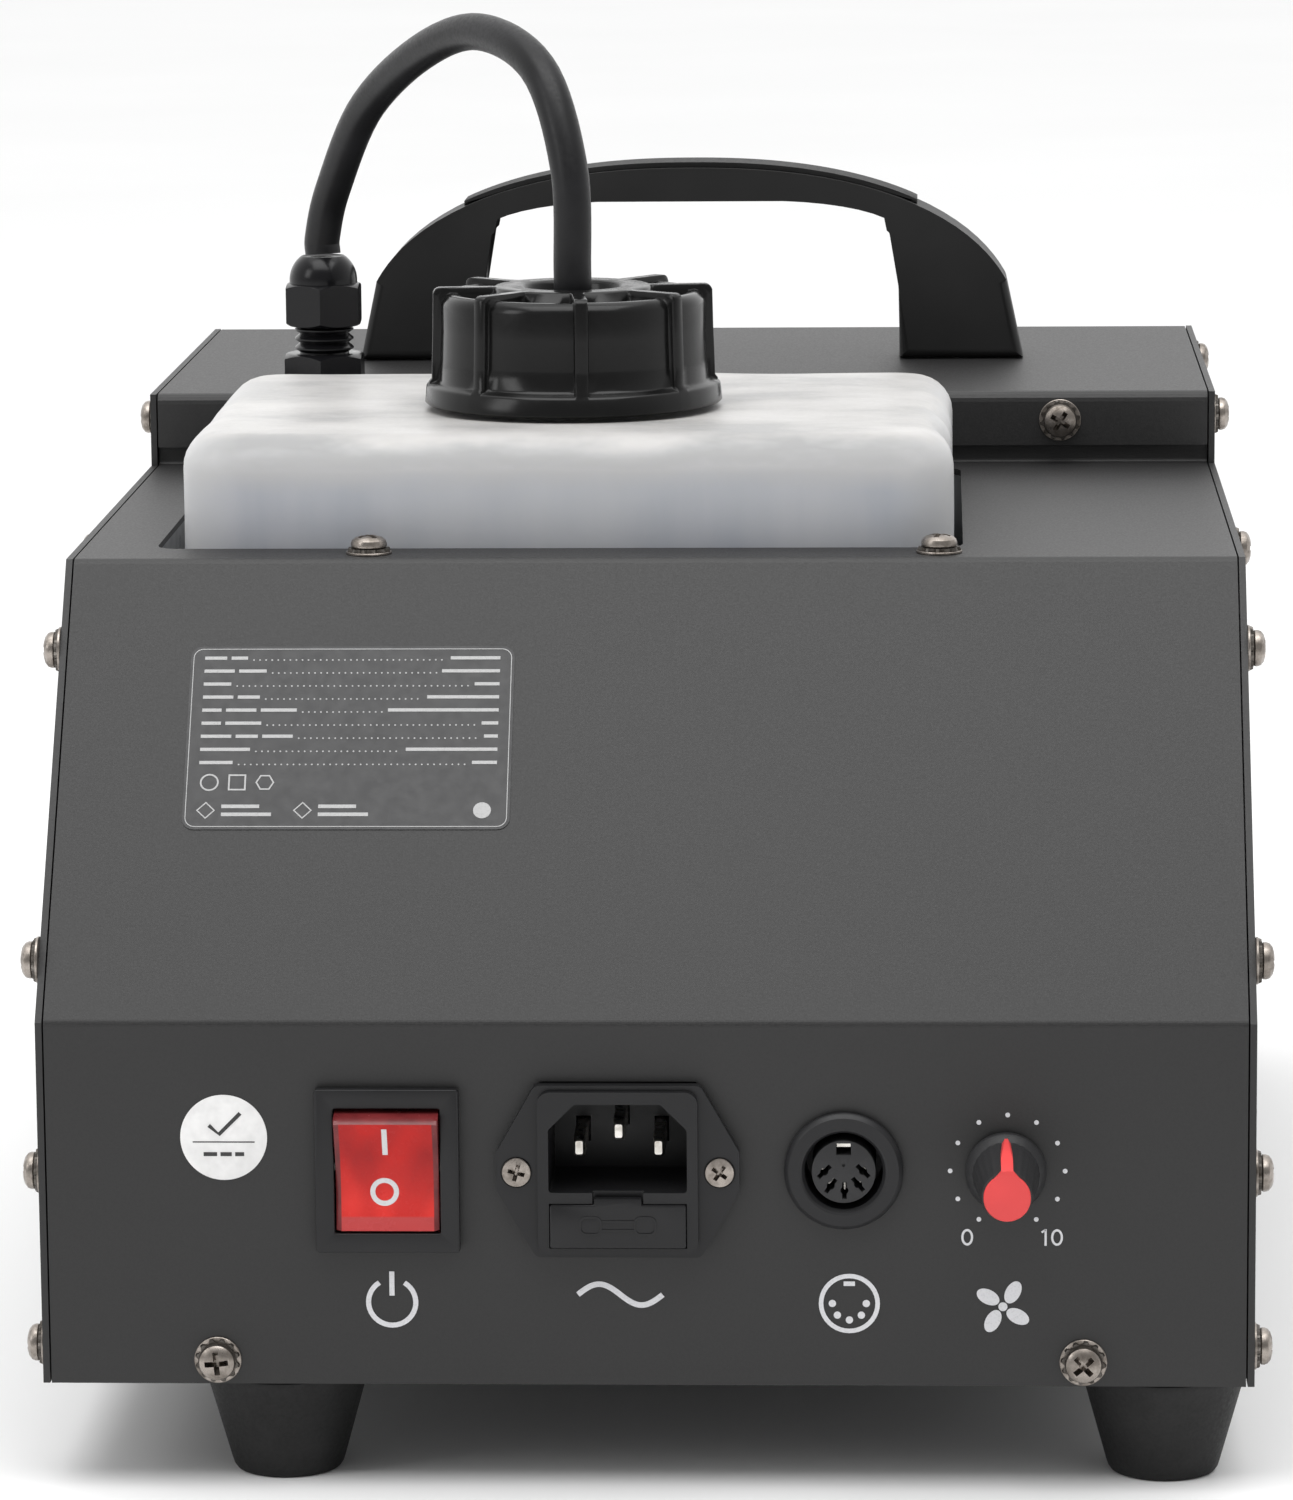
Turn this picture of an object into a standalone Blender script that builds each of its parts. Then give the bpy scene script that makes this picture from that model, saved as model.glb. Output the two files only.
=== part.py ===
"""A haze machine: a folded steel case with a lift-out fluid tank, a hose, a carry handle and its works.

Every piece is its own object. Pieces are modelled in the case's own frame: its origin is the bottom
centre of the rear control panel's face, x runs right, y into the case and z up. An empty places that
frame so that the machine stands on z = 0 with its box centred on the z axis. All sizes are in metres.
"""

import math

import bmesh
import bpy
from mathutils import Matrix, Vector

GAP = 0.0003
SHEET = 0.0012
BEND = 0.0008
BEND_STEPS = 4

# The case's side profile, from the rear panel forwards.
REAR_Y = -0.179
CASE_Z = 0.0195
CASE_W = 0.215
PANEL_H = 0.0655
SLOPE_END = 0.056
DECK_Z = 0.140
STEP_Y = 0.188
TOP_Z = 0.1545
TOP_END = 0.310
CASE_L = 0.366
FRONT_H = 0.080
STEP_LIP = 0.1437
FLANGE_TOP = 0.1526
BASE_FLANGE = 0.012
COVER_X = CASE_W / 2 - SHEET - GAP

# The rows of vent slots in the side plates.
VENT_Y = (0.215, 0.285)
VENT_LOW = 0.050
VENT_PITCH = 0.010
VENT_H = 0.004
VENT_ROWS = 7

# The fluid tank, the opening in the deck above it and its cap.
TANK_LOW = Vector((-0.0888, 0.0706, 0.0028))
TANK_HIGH = Vector((0.0546, 0.1780, 0.1605))
TANK_WALL = 0.002
TANK_CORNER = 0.012
TANK_EDGE = 0.007
CUTOUT = ((-0.0926, 0.0690), (0.0564, 0.1812))
BAY_GAP = 0.0004
NECK_R = 0.0215
NECK_BORE = 0.0185
NECK_TOP = 0.1770
CAP_CENTRE = (-0.0175, 0.1145)
CAP_LOW = 0.1613
CAP_TOP = 0.1833
CAP_HOLE = 0.0091
CAP_RIBS = 8
CAP_RIB_PHASE = math.radians(-83.5)
BOSS_TOP = 0.1815

# The hose and its gland on the upper cover.
HOSE_R = 0.0036
GLAND = (-0.0735, 0.2050)
GLAND_TOP = 0.1810
GLAND_NUT_Z = 0.1667
GLAND_NUT_TOP = 0.1754
GLAND_FOOT_TOP = 0.1610
GLAND_HEX = 0.0090
GLAND_NUT_HEX = 0.0085
THREAD_R = 0.0059
HOSE_ENDS = ((*GLAND, GLAND_TOP + GAP), (*CAP_CENTRE, BOSS_TOP + GAP))
HOSE_ROUTE = (
    (-0.0735, 0.2050, 0.1850),
    (-0.0708, 0.2010, 0.1950),
    (-0.0625, 0.1870, 0.2125),
    (-0.0490, 0.1655, 0.2252),
    (-0.0362, 0.1450, 0.2299),
    (-0.0240, 0.1250, 0.2238),
    (-0.0180, 0.1155, 0.2060),
    (-0.0175, 0.1145, 0.1870),
)
HOSE_POINTS = 14

# The carry handle.
HANDLE_Y = (0.246, 0.262)
HANDLE_HALF = 0.0698
HANDLE_ARCH = (0.0695, 0.0379)
HANDLE_ARCH_Z = 0.1570
HANDLE_POWER = 2.3
HANDLE_LEG_TOP = 0.1710
HANDLE_INNER = 0.0438
HANDLE_INNER_Z = 0.1812
HANDLE_INNER_RISE = 0.0068
HANDLE_INNER_FLAT = 0.015
HANDLE_ROUND = 0.0020
GRIP_HALF = 0.0476
GRIP_T = 0.0008

# The control panel: centres are (x, z) on the panel's face.
SWITCH = (-0.0454, 0.0393)
BEZEL = (0.0255, 0.0295)
SWITCH_BODY = (0.0224, 0.0266)
SWITCH_WELL = (0.0188, 0.0226)
SWITCH_CUT = (0.0230, 0.0272)
ROCKER_W = 0.0180
ROCKER_HALF = 0.0102
ROCKER_PIVOT_Y = 0.0010
ROCKER_TILT = math.radians(10)
INLET_X = -0.0046
INLET_Z = 0.0394
INLET_FLANGE = ((0.0214, 0.0035), (0.0146, 0.0155))
INLET_FRAME = (0.0141, 0.0146)
INLET_BODY = (0.0134, 0.0153)
WELL_HALF = 0.0122
WELL_Z = (0.0359, 0.0518)
WELL_CHAMFER = 0.0046
DRAWER_HALF = 0.0120
DRAWER_Z = (0.0260, 0.0338)
PIN_SECTION = (0.0020, 0.0040)
INLET_SCREW_X = 0.0179
INLET_SCREW_Z = 0.0393
DIN = (0.0351, 0.0393)
KNOB = (0.0636, 0.0392)
KNOB_FRONT = -0.0196
KNOB_CAP_Y = (-0.0210, -0.0199)
SHAFT_R = 0.0030
SHAFT_BORE = 0.0033

# Screws and their holes.
SCREW_HOLE = 0.0021
DECK_SCREWS = ((-0.0525, 0.0625), (0.0520, 0.0625))
STEP_SCREWS = ((-0.0764, 0.1488), (0.0764, 0.1488))
BACK_SCREWS = ((-0.0762, 0.0044), (0.0773, 0.0044))

FEET = {
    "foot_rear_left": (-0.0655, 0.0165),
    "foot_rear_right": (0.0920, 0.0165),
    "foot_front_left": (-0.0920, 0.3495),
    "foot_front_right": (0.0920, 0.3495),
}

# The works: heater, nozzle, fan, outlet and pump.
HEATER_X = (-0.072, -0.008)
HEATER_Y = (0.205, 0.285)
HEATER_Z = (0.022, 0.062)
NOZZLE = (-0.040, 0.042)
PLENUM_LOW = Vector((-0.058, 0.3260, 0.014))
PLENUM_HIGH = Vector((0.058, 0.3645, 0.0765))
OUTLET = ((-0.048, 0.024), (0.048, 0.070))
HOOD_END = 0.379
HOOD_WALL = 0.0020
SLATS = {"outlet_slat_lower": 1 / 3, "outlet_slat_upper": 2 / 3}
SLAT_T = 0.0016
SLAT_TAB = 0.0010
FAN = (0.025, 0.046)
FAN_SIZE = 0.060
FAN_Y = (0.3107, 0.3257)
FAN_BORE = 0.0280
FAN_HUB = 0.0120
FAN_BLADES = 7
PUMP = (0.072, 0.245)
PUMP_LOW = 0.003
PUMP_BORE_FLOOR = 0.015
PLUNGER_LOW = 0.027


def clear_scene():
    for old in list(bpy.data.objects):
        bpy.data.objects.remove(old, do_unlink=True)


def material(name, colour, roughness, metallic=0.0):
    made = bpy.data.materials.new(name)
    made.use_nodes = True
    shader = made.node_tree.nodes["Principled BSDF"]
    shader.inputs["Base Color"].default_value = (*colour, 1.0)
    shader.inputs["Roughness"].default_value = roughness
    shader.inputs["Metallic"].default_value = metallic
    return made


def case_frame():
    """The empty that carries every piece: the rear panel's bottom centre."""
    empty = bpy.data.objects.new("case_frame", None)
    empty.location = (0.0, REAR_Y, CASE_Z)
    bpy.context.scene.collection.objects.link(empty)
    return empty


def link_mesh(name, shape, centre):
    """Turn a shape given in case coordinates into an object whose origin is at centre."""
    bmesh.ops.recalc_face_normals(shape, faces=shape.faces)
    bmesh.ops.translate(shape, verts=shape.verts, vec=-Vector(centre))
    mesh = bpy.data.meshes.new(name)
    shape.to_mesh(mesh)
    shape.free()
    obj = bpy.data.objects.new(name, mesh)
    obj.location = centre
    obj.parent = bpy.data.objects["case_frame"]
    bpy.context.scene.collection.objects.link(obj)
    return obj


def piece(name, shape, look, centre=(0.0, 0.0, 0.0)):
    obj = link_mesh(name, shape, centre)
    obj.data.materials.append(look)
    obj.data.shade_smooth()
    obj.data.set_sharp_from_angle(angle=math.radians(35))
    return obj


def combine(obj, shape, operation):
    """Give obj a Boolean with a hidden helper made from shape."""
    helper = link_mesh(f"{obj.name}_{operation.lower()}_{len(obj.modifiers)}", shape, (0.0, 0.0, 0.0))
    helper.hide_render = True
    helper.display_type = "WIRE"
    step = obj.modifiers.new(operation.lower(), "BOOLEAN")
    step.operation = operation
    step.object = helper


def cut(obj, shape):
    combine(obj, shape, "DIFFERENCE")


def unite(obj, shape):
    combine(obj, shape, "UNION")


def round_edges(obj, width, segments=2):
    step = obj.modifiers.new("round_edges", "BEVEL")
    step.width = width
    step.segments = segments
    step.limit_method = "ANGLE"
    step.angle_limit = math.radians(35)


def add_box(shape, low, high):
    size = Vector(high) - Vector(low)
    middle = (Vector(high) + Vector(low)) / 2
    matrix = Matrix.Translation(middle) @ Matrix.Diagonal((*size, 1.0))
    bmesh.ops.create_cube(shape, size=1.0, matrix=matrix)
    return shape


def add_prism(shape, outline, axis, low, high):
    """Extrude a closed outline, given in the other two axes in x, y, z order, along axis."""
    place = {
        "X": lambda u, v, w: (w, u, v),
        "Y": lambda u, v, w: (u, w, v),
        "Z": lambda u, v, w: (u, v, w),
    }[axis]
    rings = [[shape.verts.new(place(u, v, w)) for u, v in outline] for w in (low, high)]
    for ring in rings:
        shape.faces.new(ring)
    skin(shape, rings)
    return shape


def skin(shape, rings, closed=False):
    """Join neighbouring rings of vertices with faces; a ring of one vertex is a pole."""
    pairs = list(zip(rings, rings[1:]))
    if closed:
        pairs.append((rings[-1], rings[0]))
    for first, second in pairs:
        count = max(len(first), len(second))
        for i in range(count):
            j = (i + 1) % count
            corners = [first[i % len(first)], first[j % len(first)]]
            corners += [second[j % len(second)], second[i % len(second)]]
            shape.faces.new(list(dict.fromkeys(corners)))


def add_turned(shape, profile, axis, centre, steps=24, closed=False, phase=0.0):
    """Turn a profile of (radius, height) points about the line along axis through centre."""
    place = {
        "X": lambda a, b, h: (h, centre[0] + a, centre[1] + b),
        "Y": lambda a, b, h: (centre[0] + a, h, centre[1] + b),
        "Z": lambda a, b, h: (centre[0] + a, centre[1] + b, h),
    }[axis]
    rings = []
    for radius, height in profile:
        count = steps if radius > 0 else 1
        angles = [phase + math.tau * i / steps for i in range(count)]
        points = [place(radius * math.cos(a), radius * math.sin(a), height) for a in angles]
        rings.append([shape.verts.new(point) for point in points])
    skin(shape, rings, closed)
    return shape


def add_rod(shape, axis, centre, radius, low, high, steps=24, phase=0.0):
    profile = ((0.0, low), (radius, low), (radius, high), (0.0, high))
    return add_turned(shape, profile, axis, centre, steps, phase=phase)


def sheet_outline(path):
    """Closed outline of a folded sheet whose outer face runs along path, on the left of its travel."""
    points = [Vector(p) for p in path]
    runs = [(b - a).normalized() for a, b in zip(points, points[1:])]
    normals = [Vector((-run.y, run.x)) for run in runs]
    outer = [points[0]]
    inner = [points[0] - normals[0] * SHEET]
    for corner, before, after in zip(points[1:-1], normals, normals[1:]):
        turn = math.atan2(before.x * after.y - before.y * after.x, before.dot(after))
        side = 1.0 if turn > 0 else -1.0
        outer_r = BEND if turn > 0 else BEND + SHEET
        inner_r = BEND + SHEET if turn > 0 else BEND
        centre = corner + (before + after) / (1 + before.dot(after)) * outer_r * side
        for i in range(BEND_STEPS + 1):
            aim = Matrix.Rotation(turn * i / BEND_STEPS, 2) @ before
            outer.append(centre - aim * outer_r * side)
            inner.append(centre - aim * inner_r * side)
    outer.append(points[-1])
    inner.append(points[-1] - normals[-1] * SHEET)
    return outer + inner[::-1]


def rectangle(low, high, corner=0.0, steps=3):
    """A rectangle's outline, with quarter arcs at its corners when corner is more than zero."""
    if corner == 0.0:
        return [(low[0], low[1]), (high[0], low[1]), (high[0], high[1]), (low[0], high[1])]
    centres = (
        (high[0] - corner, high[1] - corner),
        (low[0] + corner, high[1] - corner),
        (low[0] + corner, low[1] + corner),
        (high[0] - corner, low[1] + corner),
    )
    outline = []
    for quarter, (u, v) in enumerate(centres):
        for i in range(steps + 1):
            angle = math.pi / 2 * (quarter + i / steps)
            outline.append((u + corner * math.cos(angle), v + corner * math.sin(angle)))
    return outline


def centred(centre, size):
    low = (centre[0] - size[0] / 2, centre[1] - size[1] / 2)
    high = (centre[0] + size[0] / 2, centre[1] + size[1] / 2)
    return low, high


def add_panel_box(shape, centre, size, y_range):
    """A box given by its centre and size on the panel's face and its range of y."""
    low, high = centred(centre, size)
    return add_box(shape, (low[0], y_range[0], low[1]), (high[0], y_range[1], high[1]))


def case_profile():
    return [
        (0.0, 0.0),
        (0.0, PANEL_H),
        (SLOPE_END, DECK_Z),
        (STEP_Y, DECK_Z),
        (STEP_Y, TOP_Z),
        (TOP_END, TOP_Z),
        (CASE_L, FRONT_H),
        (CASE_L, 0.0),
    ]


def make_base_plate(steel):
    front = CASE_L - SHEET - GAP
    rear = SHEET + GAP
    path = ((front, BASE_FLANGE), (front, 0.0), (rear, 0.0), (rear, BASE_FLANGE))
    base = piece("base_plate", add_prism(bmesh.new(), sheet_outline(path), "X", -COVER_X, COVER_X), steel)
    holes = bmesh.new()
    for x, z in BACK_SCREWS:
        add_rod(holes, "Y", (x, z), SCREW_HOLE, 0.0, 0.006, 16)
    for row in range(6):
        x = FAN[0] + 0.008 * (row - 2.5)
        add_box(holes, (x, 0.285, -0.002), (x + 0.004, 0.320, 0.004))
    cut(base, holes)


def make_rear_cover(steel):
    """Control panel, slope and deck in one folded sheet, with the deck's far edge turned up."""
    flange_y = STEP_Y + SHEET + GAP
    path = ((0.0, 0.0), (0.0, PANEL_H), (SLOPE_END, DECK_Z), (flange_y, DECK_Z), (flange_y, FLANGE_TOP))
    cover = piece("rear_cover", add_prism(bmesh.new(), sheet_outline(path), "X", -COVER_X, COVER_X), steel)
    through = (-0.002, 0.003)
    holes = bmesh.new()
    add_panel_box(holes, SWITCH, SWITCH_CUT, through)
    inlet_cut = [2 * side + 0.0008 for side in INLET_BODY]
    add_panel_box(holes, (INLET_X, INLET_Z), inlet_cut, through)
    add_rod(holes, "Y", DIN, 0.0080, *through)
    add_rod(holes, "Y", KNOB, 0.0041, *through)
    for side in (-1, 1):
        add_rod(holes, "Y", (INLET_X + side * INLET_SCREW_X, INLET_SCREW_Z), 0.0017, *through, 12)
    for x, z in BACK_SCREWS:
        add_rod(holes, "Y", (x, z), SCREW_HOLE, *through, 16)
    for x, z in STEP_SCREWS:
        add_rod(holes, "Y", (x, z), SCREW_HOLE, STEP_Y, STEP_Y + 0.006, 16)
    for place in DECK_SCREWS:
        add_rod(holes, "Z", place, SCREW_HOLE, DECK_Z - 0.004, DECK_Z + 0.002, 16)
    add_prism(holes, rectangle(*CUTOUT, corner=0.004), "Z", DECK_Z - 0.004, DECK_Z + 0.002)
    cut(cover, holes)


def make_top_cover(steel):
    """Step face, top and front slope in one folded sheet."""
    path = ((STEP_Y, STEP_LIP), (STEP_Y, TOP_Z), (TOP_END, TOP_Z), (CASE_L, FRONT_H))
    cover = piece("top_cover", add_prism(bmesh.new(), sheet_outline(path), "X", -COVER_X, COVER_X), steel)
    holes = bmesh.new()
    add_rod(holes, "Z", GLAND, 0.0063, TOP_Z - 0.004, TOP_Z + 0.002)
    for x, z in STEP_SCREWS:
        add_rod(holes, "Y", (x, z), SCREW_HOLE, STEP_Y - 0.002, STEP_Y + 0.0014, 16)
    cut(cover, holes)


def make_front_panel(steel):
    """The front sheet with the outlet's opening and a flange turned in under the slope."""
    top = FRONT_H - 0.0014
    path = ((CASE_L - 0.016, top), (CASE_L, top), (CASE_L, 0.0))
    panel = piece("front_panel", add_prism(bmesh.new(), sheet_outline(path), "X", -COVER_X, COVER_X), steel)
    cut(panel, add_prism(bmesh.new(), rectangle(*OUTLET, corner=0.003), "Y", CASE_L - 0.004, CASE_L + 0.002))


def make_side_plates(steel):
    """Flat plates that close the case's sides, each with a row of vent slots beside the works."""
    for name, side in (("side_plate_left", -1), ("side_plate_right", 1)):
        low, high = sorted((side * (CASE_W / 2 - SHEET), side * CASE_W / 2))
        plate = piece(name, add_prism(bmesh.new(), case_profile(), "X", low, high), steel)
        slots = bmesh.new()
        for row in range(VENT_ROWS):
            z = VENT_LOW + VENT_PITCH * row
            vent = rectangle((VENT_Y[0], z), (VENT_Y[1], z + VENT_H), 0.0019, 2)
            add_prism(slots, vent, "X", low - 0.001, high + 0.001)
        cut(plate, slots)


def make_tank_bay(steel):
    """The open box the tank stands in; its rim hangs under the deck, held by the deck's two screws."""
    low = Vector((CUTOUT[0][0] - BAY_GAP, CUTOUT[0][1] - BAY_GAP, SHEET + GAP + 0.001))
    high = Vector((CUTOUT[1][0] + BAY_GAP, CUTOUT[1][1] + BAY_GAP, DECK_Z - SHEET - GAP))
    wall = Vector((0.001, 0.001, 0.001))
    bay = piece("tank_bay", add_box(bmesh.new(), low - wall, (high.x + 0.001, high.y + 0.001, high.z)), steel)
    rim_low = (low.x - 0.003, SLOPE_END + 0.0015, high.z - SHEET)
    rim = add_box(bmesh.new(), rim_low, (high.x + 0.003, 0.185, high.z))
    unite(bay, rim)
    cut(bay, add_box(bmesh.new(), low, (high.x, high.y, high.z + 0.002)))
    holes = bmesh.new()
    for place in DECK_SCREWS:
        add_rod(holes, "Z", place, SCREW_HOLE, high.z - 0.003, high.z + 0.001, 16)
    cut(bay, holes)


def make_feet(rubber):
    profile = (
        (0.0, -0.0135),
        (0.0040, -0.0135),
        (0.0040, -CASE_Z),
        (0.0092, -CASE_Z),
        (0.0102, -CASE_Z + 0.0009),
        (0.0150, -GAP),
        (0.0, -GAP),
    )
    for name, place in FEET.items():
        piece(name, add_turned(bmesh.new(), profile, "Z", place, 28), rubber, (*place, -GAP))


def arch_point(x, lift=0.0):
    """Height of the handle's outer arch at x."""
    across, up = HANDLE_ARCH
    return HANDLE_ARCH_Z + lift + up * (1 - (abs(x) / across) ** HANDLE_POWER) ** (1 / HANDLE_POWER)


def handle_outline():
    """The strap's outline: legs that stand straight, a wide arch over them and a flatter one under it."""
    across, up = HANDLE_ARCH
    leg_rise = (HANDLE_LEG_TOP - HANDLE_ARCH_Z) / up
    leg_x = across * (1 - leg_rise**HANDLE_POWER) ** (1 / HANDLE_POWER)
    base = TOP_Z + GAP
    outer_steps = 10
    outer = []
    for i in range(outer_steps, -outer_steps - 1, -1):
        x = leg_x * math.sin(math.pi / 2 * i / outer_steps)
        outer.append((x, arch_point(x)))
    span = HANDLE_INNER - HANDLE_INNER_FLAT
    inner_steps = 5
    inner = []
    for i in range(-inner_steps, inner_steps + 1):
        turn = math.pi / 2 * abs(i) / inner_steps
        x = math.copysign(HANDLE_INNER_FLAT + span * math.sin(turn), i)
        inner.append((x, HANDLE_INNER_Z + HANDLE_INNER_RISE * math.cos(turn)))
    right = [(HANDLE_INNER, base), (HANDLE_HALF, base)]
    left = [(-HANDLE_HALF, base), (-HANDLE_INNER, base)]
    return right + outer + left + inner


def make_handle(plastic, rubber):
    strap = add_prism(bmesh.new(), handle_outline(), "Y", *HANDLE_Y)
    round_edges(piece("carry_handle", strap, plastic), HANDLE_ROUND)
    steps = [GRIP_HALF * i / 9 for i in range(-9, 10)]
    under = [(x, arch_point(x, GAP)) for x in steps]
    over = [(x, arch_point(x, GAP + GRIP_T)) for x in reversed(steps)]
    strip = add_prism(bmesh.new(), under + over, "Y", HANDLE_Y[0] + HANDLE_ROUND, HANDLE_Y[1] - HANDLE_ROUND)
    piece("handle_grip", strip, rubber)


def rounded_block(low, high, corner, edge):
    """A block with round upright corners and a softer radius round its top and bottom."""
    block = add_prism(bmesh.new(), rectangle(low, high, corner, 4), "Z", low[2], high[2])
    rims = [e for e in block.edges if abs(e.verts[0].co.z - e.verts[1].co.z) < 1e-6]
    bmesh.ops.bevel(block, geom=rims, offset=edge, segments=3, profile=0.5, affect="EDGES")
    return block


def make_tank(polythene):
    inset = Vector((TANK_WALL, TANK_WALL, TANK_WALL))
    outside = rounded_block(TANK_LOW, TANK_HIGH, TANK_CORNER, TANK_EDGE)
    tank = piece("tank", outside, polythene, (*CAP_CENTRE, 0.080))
    unite(tank, add_rod(bmesh.new(), "Z", CAP_CENTRE, NECK_R, TANK_HIGH.z - 0.001, NECK_TOP, 32))
    inner_corner = TANK_CORNER - TANK_WALL
    cut(tank, rounded_block(TANK_LOW + inset, TANK_HIGH - inset, inner_corner, TANK_EDGE - TANK_WALL))
    cut(tank, add_rod(bmesh.new(), "Z", CAP_CENTRE, NECK_BORE, TANK_HIGH.z - 0.005, NECK_TOP + 0.002, 32))


def cap_ring(shape, body_r, rib_r, z):
    """One level of the cap: body_r between the ribs and rib_r on them."""
    ring = []
    for rib in range(CAP_RIBS):
        middle = CAP_RIB_PHASE + math.tau * rib / CAP_RIBS
        section = [(-5, rib_r), (5, rib_r)]
        section += [(degrees, body_r) for degrees in (7, 17, 28, 38)]
        for degrees, radius in section:
            angle = middle + math.radians(degrees)
            x = CAP_CENTRE[0] + radius * math.cos(angle)
            y = CAP_CENTRE[1] + radius * math.sin(angle)
            ring.append(shape.verts.new((x, y, z)))
    return ring


def make_cap(plastic):
    """The ribbed screw cap: a skirt over the neck and a crown with a wide hole for the hose."""
    wall_r = NECK_R + 0.0005
    under = NECK_TOP + 0.0026
    levels = (
        (0.0283, 0.0283, CAP_LOW),
        (0.0279, 0.0279, CAP_LOW + 0.0033),
        (0.0256, 0.0270, CAP_LOW + 0.0036),
        (0.0252, 0.0268, CAP_TOP - 0.0016),
        (0.0238, 0.0256, CAP_TOP),
        (CAP_HOLE, CAP_HOLE, CAP_TOP),
        (CAP_HOLE, CAP_HOLE, under),
        (wall_r, wall_r, under),
        (wall_r, wall_r, CAP_LOW),
    )
    shape = bmesh.new()
    skin(shape, [cap_ring(shape, *level) for level in levels], closed=True)
    piece("tank_cap", shape, plastic, (*CAP_CENTRE, CAP_LOW))


def make_pickup(plastic, tube_plastic, brass):
    """The liner that the hose plugs into, its suction tube and the weighted filter at the bottom."""
    low = NECK_TOP + GAP
    face = NECK_TOP + 0.0023
    liner = ((0.0, low), (0.0210, low), (0.0210, face), (0.0086, face), (0.0086, BOSS_TOP), (0.0, BOSS_TOP))
    piece("cap_liner", add_turned(bmesh.new(), liner, "Z", CAP_CENTRE, 32), plastic, (*CAP_CENTRE, NECK_TOP))
    tube = add_rod(bmesh.new(), "Z", CAP_CENTRE, 0.0032, 0.0213, NECK_TOP, 12)
    piece("pickup_tube", tube, tube_plastic, (*CAP_CENTRE, 0.0213))
    weight = ((0.0, 0.008), (0.0070, 0.008), (0.0075, 0.010), (0.0075, 0.018), (0.0045, 0.021), (0.0, 0.021))
    piece("pickup_filter", add_turned(bmesh.new(), weight, "Z", CAP_CENTRE, 20), brass, (*CAP_CENTRE, 0.008))


def smooth_route(route, count):
    """Points read from a Catmull-Rom curve through the route."""
    points = [Vector(p) for p in route]
    points = [2 * points[0] - points[1]] + points + [2 * points[-1] - points[-2]]
    spans = len(route) - 1
    found = []
    for i in range(count):
        at = spans * i / (count - 1)
        span = min(int(at), spans - 1)
        t = at - span
        a, b, c, d = points[span:span + 4]
        square = (2 * a - 5 * b + 4 * c - d) * t**2
        cube = (3 * b - a - 3 * c + d) * t**3
        found.append(0.5 * (2 * b + (c - a) * t + square + cube))
    return found


def make_hose(rubber):
    data = bpy.data.curves.new("fluid_hose", "CURVE")
    data.dimensions = "3D"
    data.bevel_depth = HOSE_R
    data.bevel_resolution = 2
    data.use_fill_caps = True
    data.materials.append(rubber)
    spline = data.splines.new("POLY")
    places = [HOSE_ENDS[0], *smooth_route(HOSE_ROUTE, HOSE_POINTS), HOSE_ENDS[1]]
    spline.points.add(len(places) - 1)
    for point, place in zip(spline.points, places):
        point.co = (*place, 1.0)
    hose = bpy.data.objects.new("fluid_hose", data)
    hose.parent = bpy.data.objects["case_frame"]
    bpy.context.scene.collection.objects.link(hose)


def make_gland(nylon):
    """The hose gland: a threaded body with a hex foot, its domed nut, and the locknut inside the case."""
    corner = -math.pi / 2
    body = add_rod(bmesh.new(), "Z", GLAND, GLAND_HEX, TOP_Z + GAP, GLAND_FOOT_TOP, 6, corner)
    gland = piece("gland_body", body, nylon)
    unite(gland, add_rod(bmesh.new(), "Z", GLAND, THREAD_R, 0.1420, GLAND_NUT_Z - GAP, 24))
    hexagon = add_rod(bmesh.new(), "Z", GLAND, GLAND_NUT_HEX, GLAND_NUT_Z, GLAND_NUT_TOP, 6, corner)
    nut = piece("gland_nut", hexagon, nylon)
    dome = (
        (0.0, GLAND_NUT_TOP - 0.0004),
        (0.0068, GLAND_NUT_TOP - 0.0004),
        (0.0068, 0.1772),
        (0.0060, 0.1792),
        (0.0047, GLAND_TOP),
        (0.0, GLAND_TOP),
    )
    unite(nut, add_turned(bmesh.new(), dome, "Z", GLAND, 24))
    top = TOP_Z - SHEET - GAP
    hexagon = add_rod(bmesh.new(), "Z", GLAND, GLAND_HEX, top - 0.0045, top, 6, corner)
    lock = piece("gland_locknut", hexagon, nylon)
    cut(lock, add_rod(bmesh.new(), "Z", GLAND, THREAD_R + GAP, top - 0.006, top + 0.002, 24))


def rocker_outline():
    """Side view of the rocker as (y, z), tipped to the off position with its lower half pressed in."""
    front = [(-0.0030 - 0.0018 * (step / 4) ** 2, ROCKER_HALF * step / 4) for step in range(4, -5, -1)]
    back = [(0.0010, -0.0090), (0.0026, -0.0045), (0.0030, 0.0), (0.0026, 0.0045), (0.0010, 0.0090)]
    tip = Matrix.Rotation(ROCKER_TILT, 2)
    return [tip @ Vector(p) + Vector((ROCKER_PIVOT_Y, SWITCH[1])) for p in front + back]


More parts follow.
